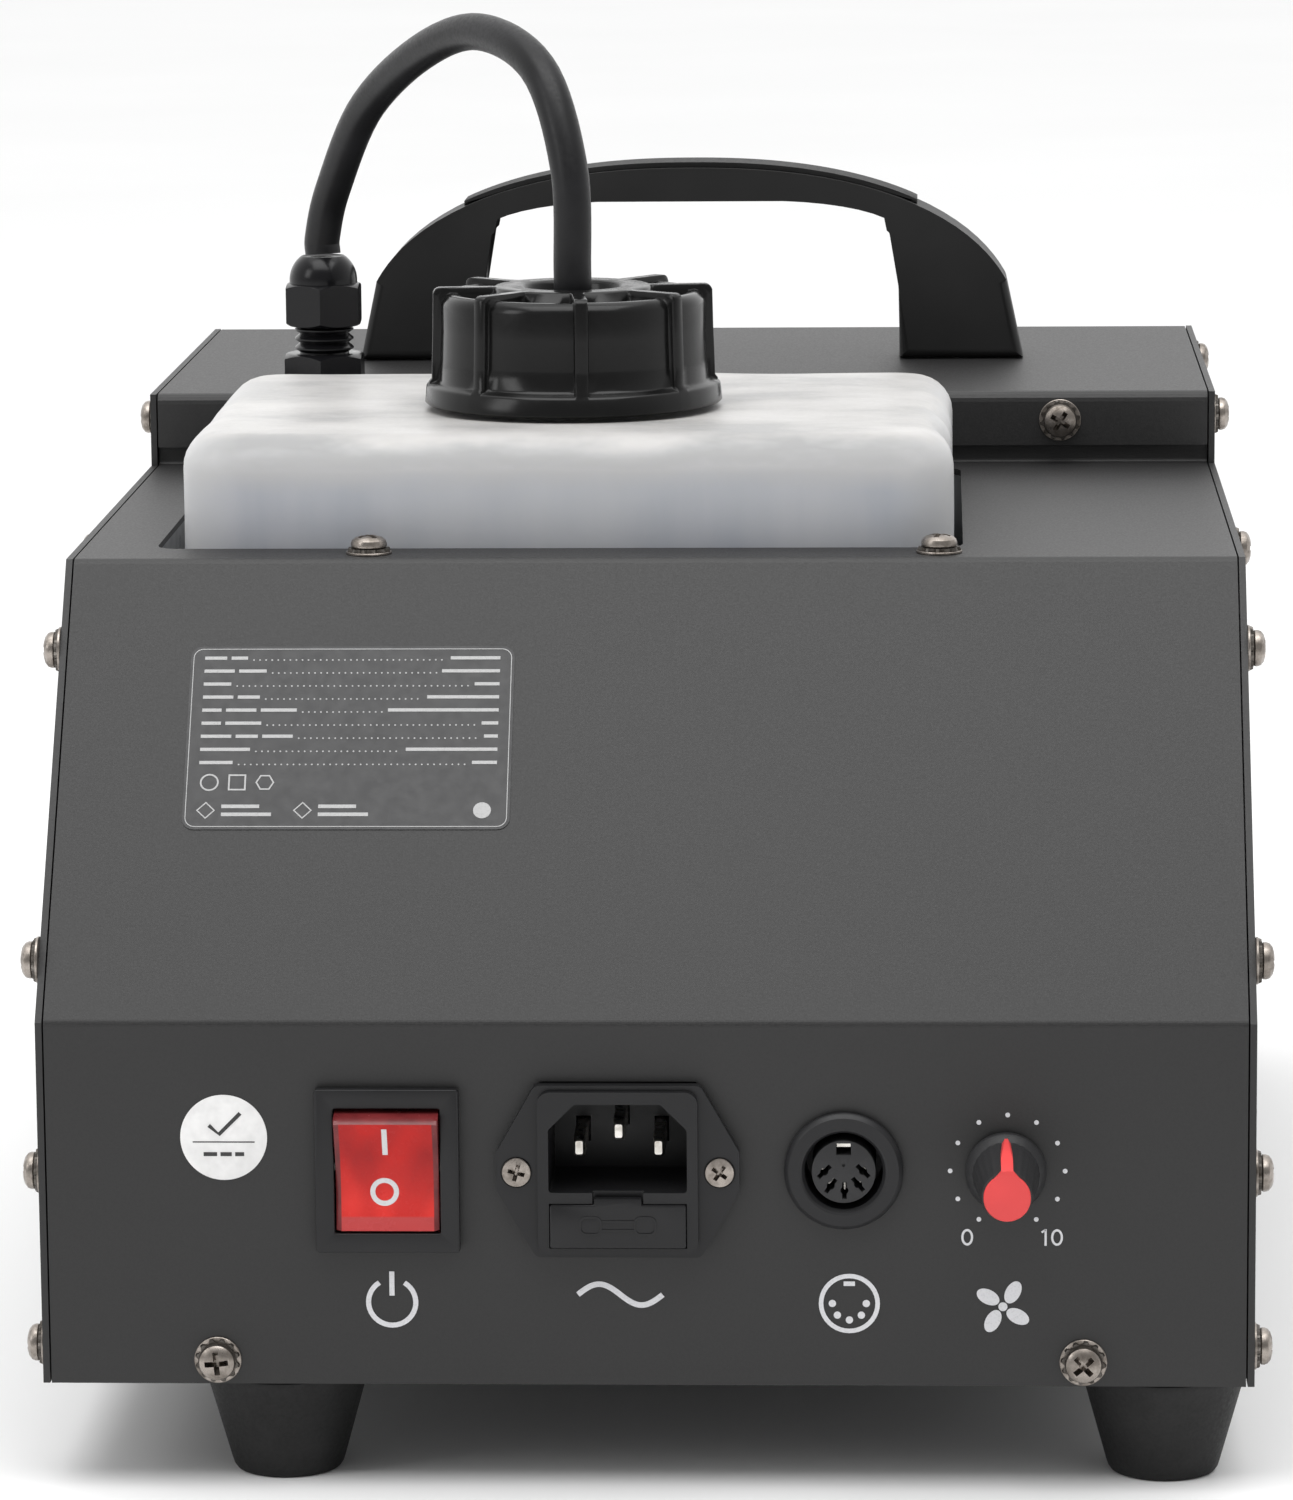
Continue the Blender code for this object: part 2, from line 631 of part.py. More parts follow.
def make_switch(plastic, red, steel):
    bezel = piece("switch_bezel", add_panel_box(bmesh.new(), SWITCH, BEZEL, (-0.0024, -GAP)), plastic)
    unite(bezel, add_panel_box(bmesh.new(), SWITCH, SWITCH_BODY, (-0.0010, 0.0200)))
    cut(bezel, add_panel_box(bmesh.new(), SWITCH, SWITCH_WELL, (-0.0050, 0.0120)))
    pivot = (ROCKER_PIVOT_Y, SWITCH[1])
    reach = SWITCH_WELL[0] / 2 + 0.0012
    bores = add_rod(bmesh.new(), "X", pivot, 0.0012, SWITCH[0] - reach, SWITCH[0] + reach, 16)
    cut(bezel, bores)
    low = SWITCH[0] - ROCKER_W / 2
    high = SWITCH[0] + ROCKER_W / 2
    body = add_prism(bmesh.new(), rocker_outline(), "X", low, high)
    rocker = piece("rocker", body, red, (SWITCH[0], *pivot))
    cut(rocker, add_rod(bmesh.new(), "X", pivot, 0.0012, low - 0.001, high + 0.001, 16))
    pin = add_rod(bmesh.new(), "X", pivot, 0.0009, SWITCH[0] - reach + GAP, SWITCH[0] + reach - GAP, 16)
    piece("rocker_pin", pin, steel)


def inlet_pins():
    return {
        "pin_live": (INLET_X - 0.0070, 0.0429),
        "pin_neutral": (INLET_X + 0.0070, 0.0429),
        "pin_earth": (INLET_X, 0.0459),
    }


def make_inlet(plastic, steel):
    """The mains inlet: hexagonal flange, framed well with two cut corners, three pins and two screws."""
    (tip_x, tip_z), (edge_x, edge_z) = INLET_FLANGE
    half = [(edge_x, -edge_z), (tip_x, -tip_z), (tip_x, tip_z), (edge_x, edge_z)]
    outline = half + [(-x, -z) for x, z in half]
    outline = [(INLET_X + x, INLET_Z + z) for x, z in outline]
    housing = piece("inlet_housing", add_prism(bmesh.new(), outline, "Y", -0.0026, -GAP), plastic)
    centre = (INLET_X, INLET_Z)
    body = [2 * side for side in INLET_BODY]
    frame = [2 * side for side in INLET_FRAME]
    unite(housing, add_panel_box(bmesh.new(), centre, body, (-0.0010, 0.0300)))
    unite(housing, add_panel_box(bmesh.new(), centre, frame, (-0.0040, -0.0012)))
    low, high = WELL_Z
    well = [
        (-WELL_HALF, low),
        (WELL_HALF, low),
        (WELL_HALF, high - WELL_CHAMFER),
        (WELL_HALF - WELL_CHAMFER, high),
        (WELL_CHAMFER - WELL_HALF, high),
        (-WELL_HALF, high - WELL_CHAMFER),
    ]
    well = [(INLET_X + x, z) for x, z in well]
    cut(housing, add_prism(bmesh.new(), well, "Y", -0.0060, 0.0160))
    holes = bmesh.new()
    add_box(
        holes,
        (INLET_X - DRAWER_HALF - GAP, -0.0060, DRAWER_Z[0] - GAP),
        (INLET_X + DRAWER_HALF + GAP, 0.0240, DRAWER_Z[1] + GAP),
    )
    for place in inlet_pins().values():
        add_panel_box(holes, place, [side + 2 * GAP for side in PIN_SECTION], (0.0150, 0.0320))
    for side in (-1, 1):
        screw = (INLET_X + side * INLET_SCREW_X, INLET_SCREW_Z)
        add_rod(holes, "Y", screw, 0.0017, -0.0040, 0.0010, 12)
        head = ((0.0, -0.0048), (0.0014, -0.0046), (0.0024, -0.0040), (0.0026, -0.0029),
                (0.0014, -0.0029), (0.0014, 0.0060), (0.0, 0.0060))
        name = "inlet_screw_left" if side < 0 else "inlet_screw_right"
        piece(name, add_turned(bmesh.new(), head, "Y", screw, 16), steel)
    cut(housing, holes)
    for name, place in inlet_pins().items():
        piece(name, add_panel_box(bmesh.new(), place, PIN_SECTION, (0.0010, 0.0360)), steel)


def make_fuse_drawer(plastic, glass):
    low = (INLET_X - DRAWER_HALF, -0.0046, DRAWER_Z[0])
    high = (INLET_X + DRAWER_HALF, 0.0195, DRAWER_Z[1])
    drawer = piece("fuse_drawer", add_box(bmesh.new(), low, high), plastic, (INLET_X, -0.0046, DRAWER_Z[0]))
    fuse_r = 0.0025
    fuse_y = 0.0072
    pocket_floor = DRAWER_Z[0] + 0.0018
    pocket = add_box(
        bmesh.new(),
        (INLET_X - 0.0108, fuse_y - fuse_r - GAP, pocket_floor),
        (INLET_X + 0.0108, fuse_y + fuse_r + GAP, DRAWER_Z[1] + 0.0010),
    )
    cut(drawer, pocket)
    centre = (fuse_y, pocket_floor + fuse_r + GAP)
    fuse = add_rod(bmesh.new(), "X", centre, fuse_r, INLET_X - 0.0100, INLET_X + 0.0100, 16)
    piece("fuse", fuse, glass, (INLET_X, *centre))


def make_din_socket(plastic):
    shell = ((0.0, 0.0125), (0.0077, 0.0125), (0.0077, -GAP), (0.0105, -GAP), (0.0105, -0.0017),
             (0.0099, -0.0023), (0.0069, -0.0023), (0.0069, 0.0110), (0.0, 0.0110))
    piece("din_shell", add_turned(bmesh.new(), shell, "Y", DIN, 32), plastic)
    piece("din_insert", add_rod(bmesh.new(), "Y", DIN, 0.0056, -0.0018, 0.0107, 24), plastic)


def make_knob(plastic, red, steel):
    """The control knob and its red pointer cap, the shaft they turn on, and the control behind the panel."""
    centre = (KNOB[0], 0.0, KNOB[1])
    body = (
        (0.0, KNOB_FRONT),
        (0.0045, KNOB_FRONT),
        (0.0058, -0.0050),
        (0.0071, -0.0016),
        (0.0071, -0.0008),
        (SHAFT_BORE, -0.0008),
        (SHAFT_BORE, -0.0132),
        (0.0, -0.0132),
    )
    piece("knob", add_turned(bmesh.new(), body, "Y", KNOB, 24), plastic, centre)
    cap = piece("knob_cap", add_rod(bmesh.new(), "Y", KNOB, 0.0041, *KNOB_CAP_Y, 24), red, centre)
    front, back = KNOB_CAP_Y
    over = [(front, 0.0025), (front, 0.0050), (-0.0050, 0.0069)]
    under = [(-0.0050, 0.0062), (back, 0.0049), (back, 0.0025)]
    side = [(y, KNOB[1] + z) for y, z in over + under]
    unite(cap, add_prism(bmesh.new(), side, "X", KNOB[0] - 0.0013, KNOB[0] + 0.0013))
    piece("pot_shaft", add_rod(bmesh.new(), "Y", KNOB, SHAFT_R, -0.0129, 0.0090, 20), steel, centre)
    control = (
        (SHAFT_BORE, -0.0006),
        (0.0038, -0.0006),
        (0.0038, 0.0016),
        (0.0080, 0.0016),
        (0.0080, 0.0110),
        (SHAFT_BORE, 0.0110),
    )
    piece("potentiometer", add_turned(bmesh.new(), control, "Y", KNOB, 24, closed=True), steel)


def screw_profile(seat, out):
    """Pan-head screw and washer as (radius, height); seat is the sheet's face and out its outward sign."""
    shank = [(0.0, -0.0070), (0.0018, -0.0070), (0.0018, GAP)]
    washer = [(0.0044, GAP), (0.0044, 0.0010)]
    head = [(0.0037, 0.0010), (0.0037, 0.0015), (0.0032, 0.0024), (0.0020, 0.0030), (0.0, 0.0032)]
    steps = shank + washer + head
    return [(radius, seat + out * height) for radius, height in steps]


def make_case_screws(steel):
    rows = (
        ("deck_screw", DECK_SCREWS, "Z", DECK_Z, 1),
        ("step_screw", STEP_SCREWS, "Y", STEP_Y, -1),
        ("back_screw", BACK_SCREWS, "Y", 0.0, -1),
    )
    for name, places, axis, seat, out in rows:
        for side, place in zip(("left", "right"), places):
            shape = add_turned(bmesh.new(), screw_profile(seat, out), axis, place, 20)
            piece(f"{name}_{side}", shape, steel)


def make_heater(aluminium, steel, brass, plastic):
    """The heater block on its two feet, its folded shield, the haze nozzle and the thermostat on top."""
    (y0, y1), (z0, z1) = HEATER_Y, HEATER_Z
    floor = SHEET + GAP
    outline = [(y0, z0)]
    for foot in (y0 + 0.010, y1 - 0.015):
        outline += [(foot, z0), (foot, floor), (foot + 0.005, floor), (foot + 0.005, z0)]
    outline += [(y1, z0), (y1, z1), (y0, z1)]
    block = piece("heater_block", add_prism(bmesh.new(), outline, "X", *HEATER_X), aluminium)
    cut(block, add_rod(bmesh.new(), "Y", NOZZLE, 0.0040, y1 - 0.018, y1 + 0.001, 16))
    left = HEATER_X[0] - 0.0045
    right = HEATER_X[1] + 0.0045
    path = ((left, floor), (left, 0.072), (right, 0.072), (right, floor))
    piece("heater_shield", add_prism(bmesh.new(), sheet_outline(path), "Y", y0 - 0.005, y1 + 0.005), steel)
    plug = [(0.0, y1 - 0.017), (0.0037, y1 - 0.017), (0.0037, y1 + GAP)]
    collar = [(0.0070, y1 + GAP), (0.0070, y1 + 0.008), (0.0040, y1 + 0.010)]
    spout = [(0.0040, y1 + 0.041), (0.0020, y1 + 0.047), (0.0010, y1 + 0.047)]
    bore = [(0.0010, y1 + 0.015), (0.0, y1 + 0.015)]
    nozzle = plug + collar + spout + bore
    piece("nozzle", add_turned(bmesh.new(), nozzle, "Y", NOZZLE, 16), brass)
    place = (NOZZLE[0], (y0 + y1) / 2)
    piece("thermostat", add_rod(bmesh.new(), "Z", place, 0.008, z1 + GAP, z1 + 0.006, 20), plastic)


def make_outlet(steel, plastic):
    """The plenum that fan and nozzle feed, and the slatted hood on the front panel."""
    wall = Vector((SHEET, SHEET, SHEET))
    plenum = piece("outlet_plenum", add_box(bmesh.new(), PLENUM_LOW, PLENUM_HIGH), steel)
    inner = add_box(bmesh.new(), PLENUM_LOW + wall, PLENUM_HIGH - wall + Vector((0.0, 0.004, 0.0)))
    cut(plenum, inner)
    holes = bmesh.new()
    add_rod(holes, "Y", NOZZLE, 0.0080, PLENUM_LOW.y - 0.002, PLENUM_LOW.y + 0.004, 20)
    add_rod(holes, "Y", FAN, FAN_BORE - 0.001, PLENUM_LOW.y - 0.002, PLENUM_LOW.y + 0.004, 32)
    cut(plenum, holes)
    (x0, z0), (x1, z1) = OUTLET
    face = CASE_L + GAP
    flange = add_box(bmesh.new(), (x0 - 0.008, face, z0 - 0.008), (x1 + 0.008, face + 0.002, z1 + 0.008))
    hood = piece("outlet_hood", flange, plastic)
    duct_low = (x0 - HOOD_WALL, face + 0.001, z0 - HOOD_WALL)
    unite(hood, add_box(bmesh.new(), duct_low, (x1 + HOOD_WALL, HOOD_END, z1 + HOOD_WALL)))
    cut(hood, add_box(bmesh.new(), (x0, face - 0.001, z0), (x1, HOOD_END + 0.001, z1)))
    slots = bmesh.new()
    for name, share in SLATS.items():
        z = z0 + (z1 - z0) * share
        half = SLAT_T / 2
        slat_low = (x0 - SLAT_TAB, face + 0.004, z - half)
        slat_high = (x1 + SLAT_TAB, HOOD_END - 0.002, z + half)
        piece(name, add_box(bmesh.new(), slat_low, slat_high), plastic)
        gap = Vector((GAP, GAP, GAP))
        add_box(slots, Vector(slat_low) - gap - Vector((0.0, 0.006, 0.0)), Vector(slat_high) + gap)
    cut(hood, slots)


def make_fan(plastic):
    low, high = centred(FAN, (FAN_SIZE, FAN_SIZE))
    frame = piece("fan_frame", add_prism(bmesh.new(), rectangle(low, high, 0.004, 2), "Y", *FAN_Y), plastic)
    cut(frame, add_rod(bmesh.new(), "Y", FAN, FAN_BORE, FAN_Y[0] - 0.001, FAN_Y[1] + 0.001, 36))
    back = FAN_Y[1] - 0.0045
    unite(frame, add_rod(bmesh.new(), "Y", FAN, FAN_HUB, back, FAN_Y[1] - 0.0004, 24))
    struts = bmesh.new()
    for arm in range(3):
        spin = Matrix.Rotation(math.radians(90 + 120 * arm), 4, "Y")
        outer = (FAN_BORE + 0.001, FAN_Y[1] - 0.001, 0.0015)
        strut = add_box(bmesh.new(), (FAN_HUB - 0.002, back + 0.001, -0.0015), outer)
        add_placed(struts, strut, Matrix.Translation((FAN[0], 0.0, FAN[1])) @ spin)
    unite(frame, struts)
    rotor_y = (FAN_Y[0] + 0.0010, back - 0.0010)
    centre = (FAN[0], rotor_y[0], FAN[1])
    rotor = piece("fan_rotor", add_rod(bmesh.new(), "Y", FAN, FAN_HUB, *rotor_y, 28), plastic, centre)
    blades = bmesh.new()
    middle = sum(rotor_y) / 2
    for arm in range(FAN_BLADES):
        spin = Matrix.Rotation(math.tau * arm / FAN_BLADES, 4, "Y")
        pitch = Matrix.Rotation(math.radians(50), 4, "X")
        tip = (FAN_BORE - 0.0010, 0.0042, 0.0006)
        blade = add_box(bmesh.new(), (FAN_HUB - 0.0015, -0.0042, -0.0006), tip)
        add_placed(blades, blade, Matrix.Translation((FAN[0], middle, FAN[1])) @ spin @ pitch)
    unite(rotor, blades)


def add_placed(shape, other, matrix):
    """Move other by matrix and add it to shape."""
    bmesh.ops.transform(other, matrix=matrix, verts=other.verts)
    carrier = bpy.data.meshes.new("carrier")
    other.to_mesh(carrier)
    other.free()
    shape.from_mesh(carrier)
    bpy.data.meshes.remove(carrier)


def make_pump(steel, plastic, spring_steel):
    """The solenoid pump: coil body with a bore open at the top, its plunger, spring and bracket."""
    coil = [(0.0, PUMP_LOW), (0.0160, PUMP_LOW), (0.0160, 0.049)]
    bore = [(0.0054, 0.049), (0.0054, PUMP_BORE_FLOOR), (0.0, PUMP_BORE_FLOOR)]
    piece("pump_body", add_turned(bmesh.new(), coil + bore, "Z", PUMP, 28), plastic)
    plunger = ((0.0, PLUNGER_LOW), (0.0050, PLUNGER_LOW), (0.0050, 0.054), (0.0042, 0.057), (0.0, 0.057))
    piece("pump_plunger", add_turned(bmesh.new(), plunger, "Z", PUMP, 20), steel, (*PUMP, PLUNGER_LOW))
    spring = spring_shape(PUMP_BORE_FLOOR + GAP, PLUNGER_LOW - GAP)
    piece("pump_spring", spring, spring_steel, (*PUMP, PUMP_BORE_FLOOR))
    floor = SHEET + GAP
    path = ((0.092, 0.050), (0.092, floor), (0.052, floor))
    bracket = add_prism(bmesh.new(), sheet_outline(path), "Y", PUMP[1] - 0.016, PUMP[1] + 0.016)
    piece("pump_bracket", bracket, steel)


def spring_shape(low, high, turns=4, coil_r=0.0038, wire_r=0.0006):
    """An upright helical spring with a ring of six points round the wire at each step."""
    shape = bmesh.new()
    steps = 12 * turns
    rings = []
    for i in range(steps + 1):
        angle = math.tau * turns * i / steps
        out = Vector((math.cos(angle), math.sin(angle), 0.0))
        rise = low + wire_r + (high - low - 2 * wire_r) * i / steps
        centre = Vector((*PUMP, rise)) + out * coil_r
        ring = []
        for k in range(6):
            around = math.tau * k / 6
            spoke = out * math.cos(around) + Vector((0.0, 0.0, math.sin(around)))
            ring.append(shape.verts.new(centre + wire_r * spoke))
        rings.append(ring)
    skin(shape, rings)
    shape.faces.new(rings[0])
    shape.faces.new(rings[-1])
    return shape


def make_circuit_board(laminate):
    """The control board beside the tank, with its relay, transformer and reservoir capacitor."""
    plate = add_box(bmesh.new(), (0.0980, 0.070, 0.020), (0.0996, 0.170, 0.120))
    board = piece("circuit_board", plate, laminate)
    parts = bmesh.new()
    add_box(parts, (0.0800, 0.080, 0.030), (0.0984, 0.110, 0.062))
    add_box(parts, (0.0840, 0.125, 0.035), (0.0984, 0.153, 0.052))
    add_rod(parts, "X", (0.140, 0.090), 0.0080, 0.0780, 0.0984, 20)
    unite(board, parts)


def build():
    clear_scene()
    case_frame()
    steel_black = material("black_powder_coat", (0.030, 0.030, 0.031), 0.55)
    steel_zinc = material("zinc_steel", (0.60, 0.61, 0.62), 0.35, 1.0)
    nickel = material("nickel", (0.52, 0.49, 0.45), 0.30, 1.0)
    aluminium = material("cast_aluminium", (0.70, 0.71, 0.72), 0.45, 1.0)
    brass = material("brass", (0.75, 0.58, 0.28), 0.30, 1.0)
    rubber = material("black_rubber", (0.018, 0.018, 0.018), 0.75)
    matte = material("matte_black_plastic", (0.022, 0.022, 0.023), 0.55)
    gloss = material("gloss_black_plastic", (0.012, 0.012, 0.012), 0.20)
    polythene = material("white_polythene", (0.80, 0.81, 0.82), 0.45)
    red = material("red_plastic", (0.70, 0.03, 0.02), 0.30)
    glass = material("fuse_glass", (0.85, 0.88, 0.88), 0.10)
    laminate = material("green_laminate", (0.03, 0.16, 0.07), 0.45)

    make_base_plate(steel_black)
    make_rear_cover(steel_black)
    make_top_cover(steel_black)
    make_front_panel(steel_black)
    make_side_plates(steel_black)
    make_tank_bay(steel_zinc)
    make_feet(rubber)
    make_handle(matte, rubber)
    make_tank(polythene)
    make_cap(gloss)
    make_pickup(matte, polythene, brass)
    make_hose(rubber)
    make_gland(gloss)
    make_switch(gloss, red, nickel)
    make_inlet(gloss, nickel)
    make_fuse_drawer(gloss, glass)
    make_din_socket(matte)
    make_knob(matte, red, nickel)
    make_case_screws(nickel)
    make_heater(aluminium, steel_zinc, brass, matte)
    make_outlet(steel_zinc, matte)
    make_fan(matte)
    make_pump(nickel, matte, nickel)
    make_circuit_board(laminate)


build()
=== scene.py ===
"""The haze machine's looks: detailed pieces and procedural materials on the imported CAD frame.

Pieces are modelled in the case's frame, in metres: origin at the bottom centre of the rear control
panel's face, x right, y into the case, z up. CASE moves them into the row frame.
"""

import math

import bmesh
import bpy
from mathutils import Matrix, Vector, noise


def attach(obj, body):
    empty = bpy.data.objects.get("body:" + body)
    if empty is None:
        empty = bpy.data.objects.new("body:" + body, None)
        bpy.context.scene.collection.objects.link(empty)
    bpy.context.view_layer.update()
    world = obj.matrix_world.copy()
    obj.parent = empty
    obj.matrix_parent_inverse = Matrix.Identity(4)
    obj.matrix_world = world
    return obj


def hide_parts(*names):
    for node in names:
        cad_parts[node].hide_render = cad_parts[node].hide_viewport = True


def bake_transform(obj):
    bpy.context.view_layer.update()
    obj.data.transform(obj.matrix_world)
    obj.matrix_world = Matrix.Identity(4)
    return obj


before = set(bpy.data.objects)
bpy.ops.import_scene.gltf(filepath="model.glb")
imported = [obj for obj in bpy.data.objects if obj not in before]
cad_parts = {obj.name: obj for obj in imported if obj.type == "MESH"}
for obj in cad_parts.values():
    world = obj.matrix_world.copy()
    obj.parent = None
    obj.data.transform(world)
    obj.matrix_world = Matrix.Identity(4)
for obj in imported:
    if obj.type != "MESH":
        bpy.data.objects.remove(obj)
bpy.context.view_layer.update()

GAP = 0.0003
REAR_Y = -0.179
CASE_Z = 0.0195
CASE = Vector((0.0, REAR_Y, CASE_Z))
SIDE_X = 0.1075
PANEL_H = 0.0655
SLOPE_END = 0.056
DECK_Z = 0.140
STEP_Y = 0.188
TOP_Z = 0.1545
CASE_L = 0.366

# The camera, in the row frame: where it stands and how it is turned.
CAMERA_PLACE = Vector((0.051077, -1.293991, 0.329165))
CAMERA_YAW = -2.574
CAMERA_DOWN = 9.928
CAMERA_ROLL = 0.488
CAMERA_LENS = 156.0

# The light all round, in front of the machine and behind it, and from overhead.
WORLD_FRONT = 0.32
WORLD_BACK = 1.28
SKY_POWER = 0.9
SKY_ANGLE = 70.0
FLOOR_HALF = 25.0

HOSE_R = 0.0036
GLAND = (-0.0735, 0.2050)
GLAND_TOP = 0.1810
BOSS_TOP = 0.1815
CAP_CENTRE = (-0.0175, 0.1145)
HOSE_ROUTE = (
    (-0.0735, 0.2050, 0.1813),
    (-0.0735, 0.2050, 0.1850),
    (-0.0708, 0.2010, 0.1950),
    (-0.0625, 0.1870, 0.2125),
    (-0.0490, 0.1655, 0.2252),
    (-0.0362, 0.1450, 0.2299),
    (-0.0240, 0.1250, 0.2238),
    (-0.0180, 0.1155, 0.2060),
    (-0.0175, 0.1145, 0.1870),
    (-0.0175, 0.1145, 0.1818),
)
HOSE_RINGS = 72

TANK_LOW = Vector((-0.0888, 0.0706, 0.0028))
TANK_HIGH = Vector((0.0546, 0.1780, 0.1605))
NECK_R = 0.0215
NECK_BORE = 0.0185
NECK_TOP = 0.1770
CAP_LOW = 0.1618
CAP_TOP = 0.1839
CAP_HOLE = 0.0091
CAP_RIBS = 8
CAP_RIB_PHASE = -83.5
TANK_WALL = 0.002
TANK_CORNER = 0.012
TANK_EDGE = 0.007
TANK_SIDE_STEPS = 20
EDGE_STEPS = 7
WAVE_DEPTH = 0.0004
WAVE_SCALE = 38.0

# Dents pressed into the tank: (place, radius, depth).
TANK_DENTS = (
    (Vector((0.0546, 0.0960, 0.1555)), 0.0055, 0.0022),
    (Vector((0.0546, 0.1180, 0.1575)), 0.0050, 0.0014),
    (Vector((0.0200, 0.0960, 0.1605)), 0.0150, 0.0006),
    (Vector((-0.0620, 0.0980, 0.1605)), 0.0160, 0.0006),
)

# A rib across the cap: (offset from its middle, how far it stands out), and the field between two ribs.
RIB_SECTION = (
    (-0.00150, 0.0), (-0.00140, 0.08), (-0.00130, 0.50), (-0.00120, 0.92), (-0.00105, 1.0), (0.0, 1.0),
    (0.00105, 1.0), (0.00120, 0.92), (0.00130, 0.50), (0.00140, 0.08), (0.00150, 0.0),
)
FIELD_STEPS = 7
FIELD_BULGE = 0.0003

THREAD_R = 0.0059
THREAD_PITCH = 0.0019
GLAND_NUT_Z = 0.1667

HANDLE_Y = (0.246, 0.262)
HANDLE_ARCH = (0.0695, 0.0379)
HANDLE_ARCH_Z = 0.1570
HANDLE_POWER = 2.3
HANDLE_HALF = 0.0698
HANDLE_LEG_TOP = 0.1710
HANDLE_INNER = 0.0438
HANDLE_INNER_Z = 0.1812
HANDLE_INNER_RISE = 0.0068
GRIP_HALF = 0.0476
GRIP_T = 0.0008
HANDLE_ROUND = 0.0020

SWITCH = (-0.0454, 0.0393)
INLET = (-0.0046, 0.0394)
DIN = (0.0351, 0.0393)
KNOB = (0.0636, 0.0392)
KNOB_FRONT = -0.0196
KNOB_CAP_Y = (-0.0210, -0.0199)
KNOB_FLUTES = 24
DOT_CENTRE = (0.0639, 0.0391)
DOT_RING = 0.0101
STICKER = (-0.0744, 0.0449)

# The control panel's parts: sizes across x and z on the panel, depths along y.
BEZEL = (0.0255, 0.0295)
ROCKER_W = 0.0184
ROCKER_RIM = 0.0010
ROCKER_SINK = 0.0008
PIVOT_R = 0.0012
MARK_LIFT = 0.00008
ROCKER_HALF = 0.0102
ROCKER_PIVOT_Y = 0.0010
ROCKER_TILT = 10.0
INLET_FLANGE = ((0.0214, 0.0035), (0.0146, 0.0155))
INLET_FRAME = (0.0141, 0.0146)
INLET_BODY = (0.0134, 0.0153)
INLET_SCREW_X = 0.0179
INLET_SCREW_Z = 0.0393
WELL_HALF = 0.0122
WELL_Z = (0.0359, 0.0518)
WELL_CHAMFER = 0.0046
DRAWER_HALF = 0.0120
DRAWER_Z = (0.0260, 0.0338)
DRAWER_FRONT = -0.0046
DRAWER_GAP = 0.00015
PIN_SECTION = (0.0020, 0.0040)
PIN_TIP = ((0.0010, 0.0010), (0.0008, 0.0012), (0.0, 0.0034), (0.0, 0.0360))
# The round socket's slots: (where each one is round the middle, which way it points), in degrees.
DIN_SLOTS = ((180.0, 225.0), (228.0, 234.0), (272.0, 270.0), (318.0, 310.0), (2.0, 315.0))
DIN_PIN_R = 0.0034
DIN_FACE = -0.0018
PRINT_Y = (-0.00012, -0.00002)

# The rating plate: its sides, its range up the slope, and its rows as (dash lengths, tail) in mm.
PLATE_X = (-0.0835, -0.0247)
PLATE_Z = (0.0380, 0.0750)
PLATE_PITCH = 0.00265
PLATE_ROWS = (
    ((4.0, 3.0), 9.0), ((5.5, 5.0), 10.5), ((5.0,), 4.5), ((5.5, 4.0), 13.0), ((3.5, 5.5, 6.5), 20.0),
    ((3.5, 6.5), 3.0), ((5.5, 4.0, 5.5), 2.5), ((9.0,), 16.5), ((6.0,), 4.5),
)

OUTLET = ((-0.048, 0.024), (0.048, 0.070))
HOOD_END = 0.379
HOOD_WALL = 0.0020

DECK_SCREWS = ((-0.0525, 0.0625), (0.0520, 0.0625))
STEP_SCREWS = ((-0.0764, 0.1488), (0.0764, 0.1488))
BACK_SCREWS = ((-0.0762, 0.0044), (0.0773, 0.0044))
SIDE_SCREWS = (
    (0.0055, 0.0060), (0.0055, 0.0375), (0.0090, 0.0750), (0.0480, 0.1245), (0.1050, 0.1345),
    (0.2000, 0.1485), (0.2990, 0.1485), (0.3290, 0.1245), (0.3560, 0.0810), (0.3600, 0.0375),
    (0.3600, 0.0060), (0.2500, 0.0060), (0.1300, 0.0060),
)
SCREW_TURNS = 37.0
FEET = {
    "foot_rear_left": (-0.0655, 0.0165),
    "foot_rear_right": (0.0920, 0.0165),
    "foot_front_left": (-0.0920, 0.3495),
    "foot_front_right": (0.0920, 0.3495),
}


# ---------------------------------------------------------------------------------------------
# Building meshes
# ---------------------------------------------------------------------------------------------


def prism(outline, axis, low, high, shape=None):
    """Extrude a closed outline, given in the other two axes in x, y, z order, along axis."""
    shape = shape or bmesh.new()
    place = {
        "X": lambda u, v, w: (w, u, v),
        "Y": lambda u, v, w: (u, w, v),
        "Z": lambda u, v, w: (u, v, w),
    }[axis]
    rings = [[shape.verts.new(place(u, v, w)) for u, v in outline] for w in (low, high)]
    for ring in rings:
        shape.faces.new(ring)
    skin(shape, rings)
    return shape


def skin(shape, rings, closed=False):
    """Join neighbouring rings of vertices with faces; a ring of one vertex is a pole."""
    pairs = list(zip(rings, rings[1:]))
    if closed:
        pairs.append((rings[-1], rings[0]))
    for first, second in pairs:
        count = max(len(first), len(second))
        for i in range(count):
            j = (i + 1) % count
            corners = [first[i % len(first)], first[j % len(first)]]
            corners += [second[j % len(second)], second[i % len(second)]]
            shape.faces.new(list(dict.fromkeys(corners)))


def solid(shape, rings):
    """Skin the rings and close both ends with a face."""
    skin(shape, rings)
    shape.faces.new(rings[0])
    shape.faces.new(rings[-1])


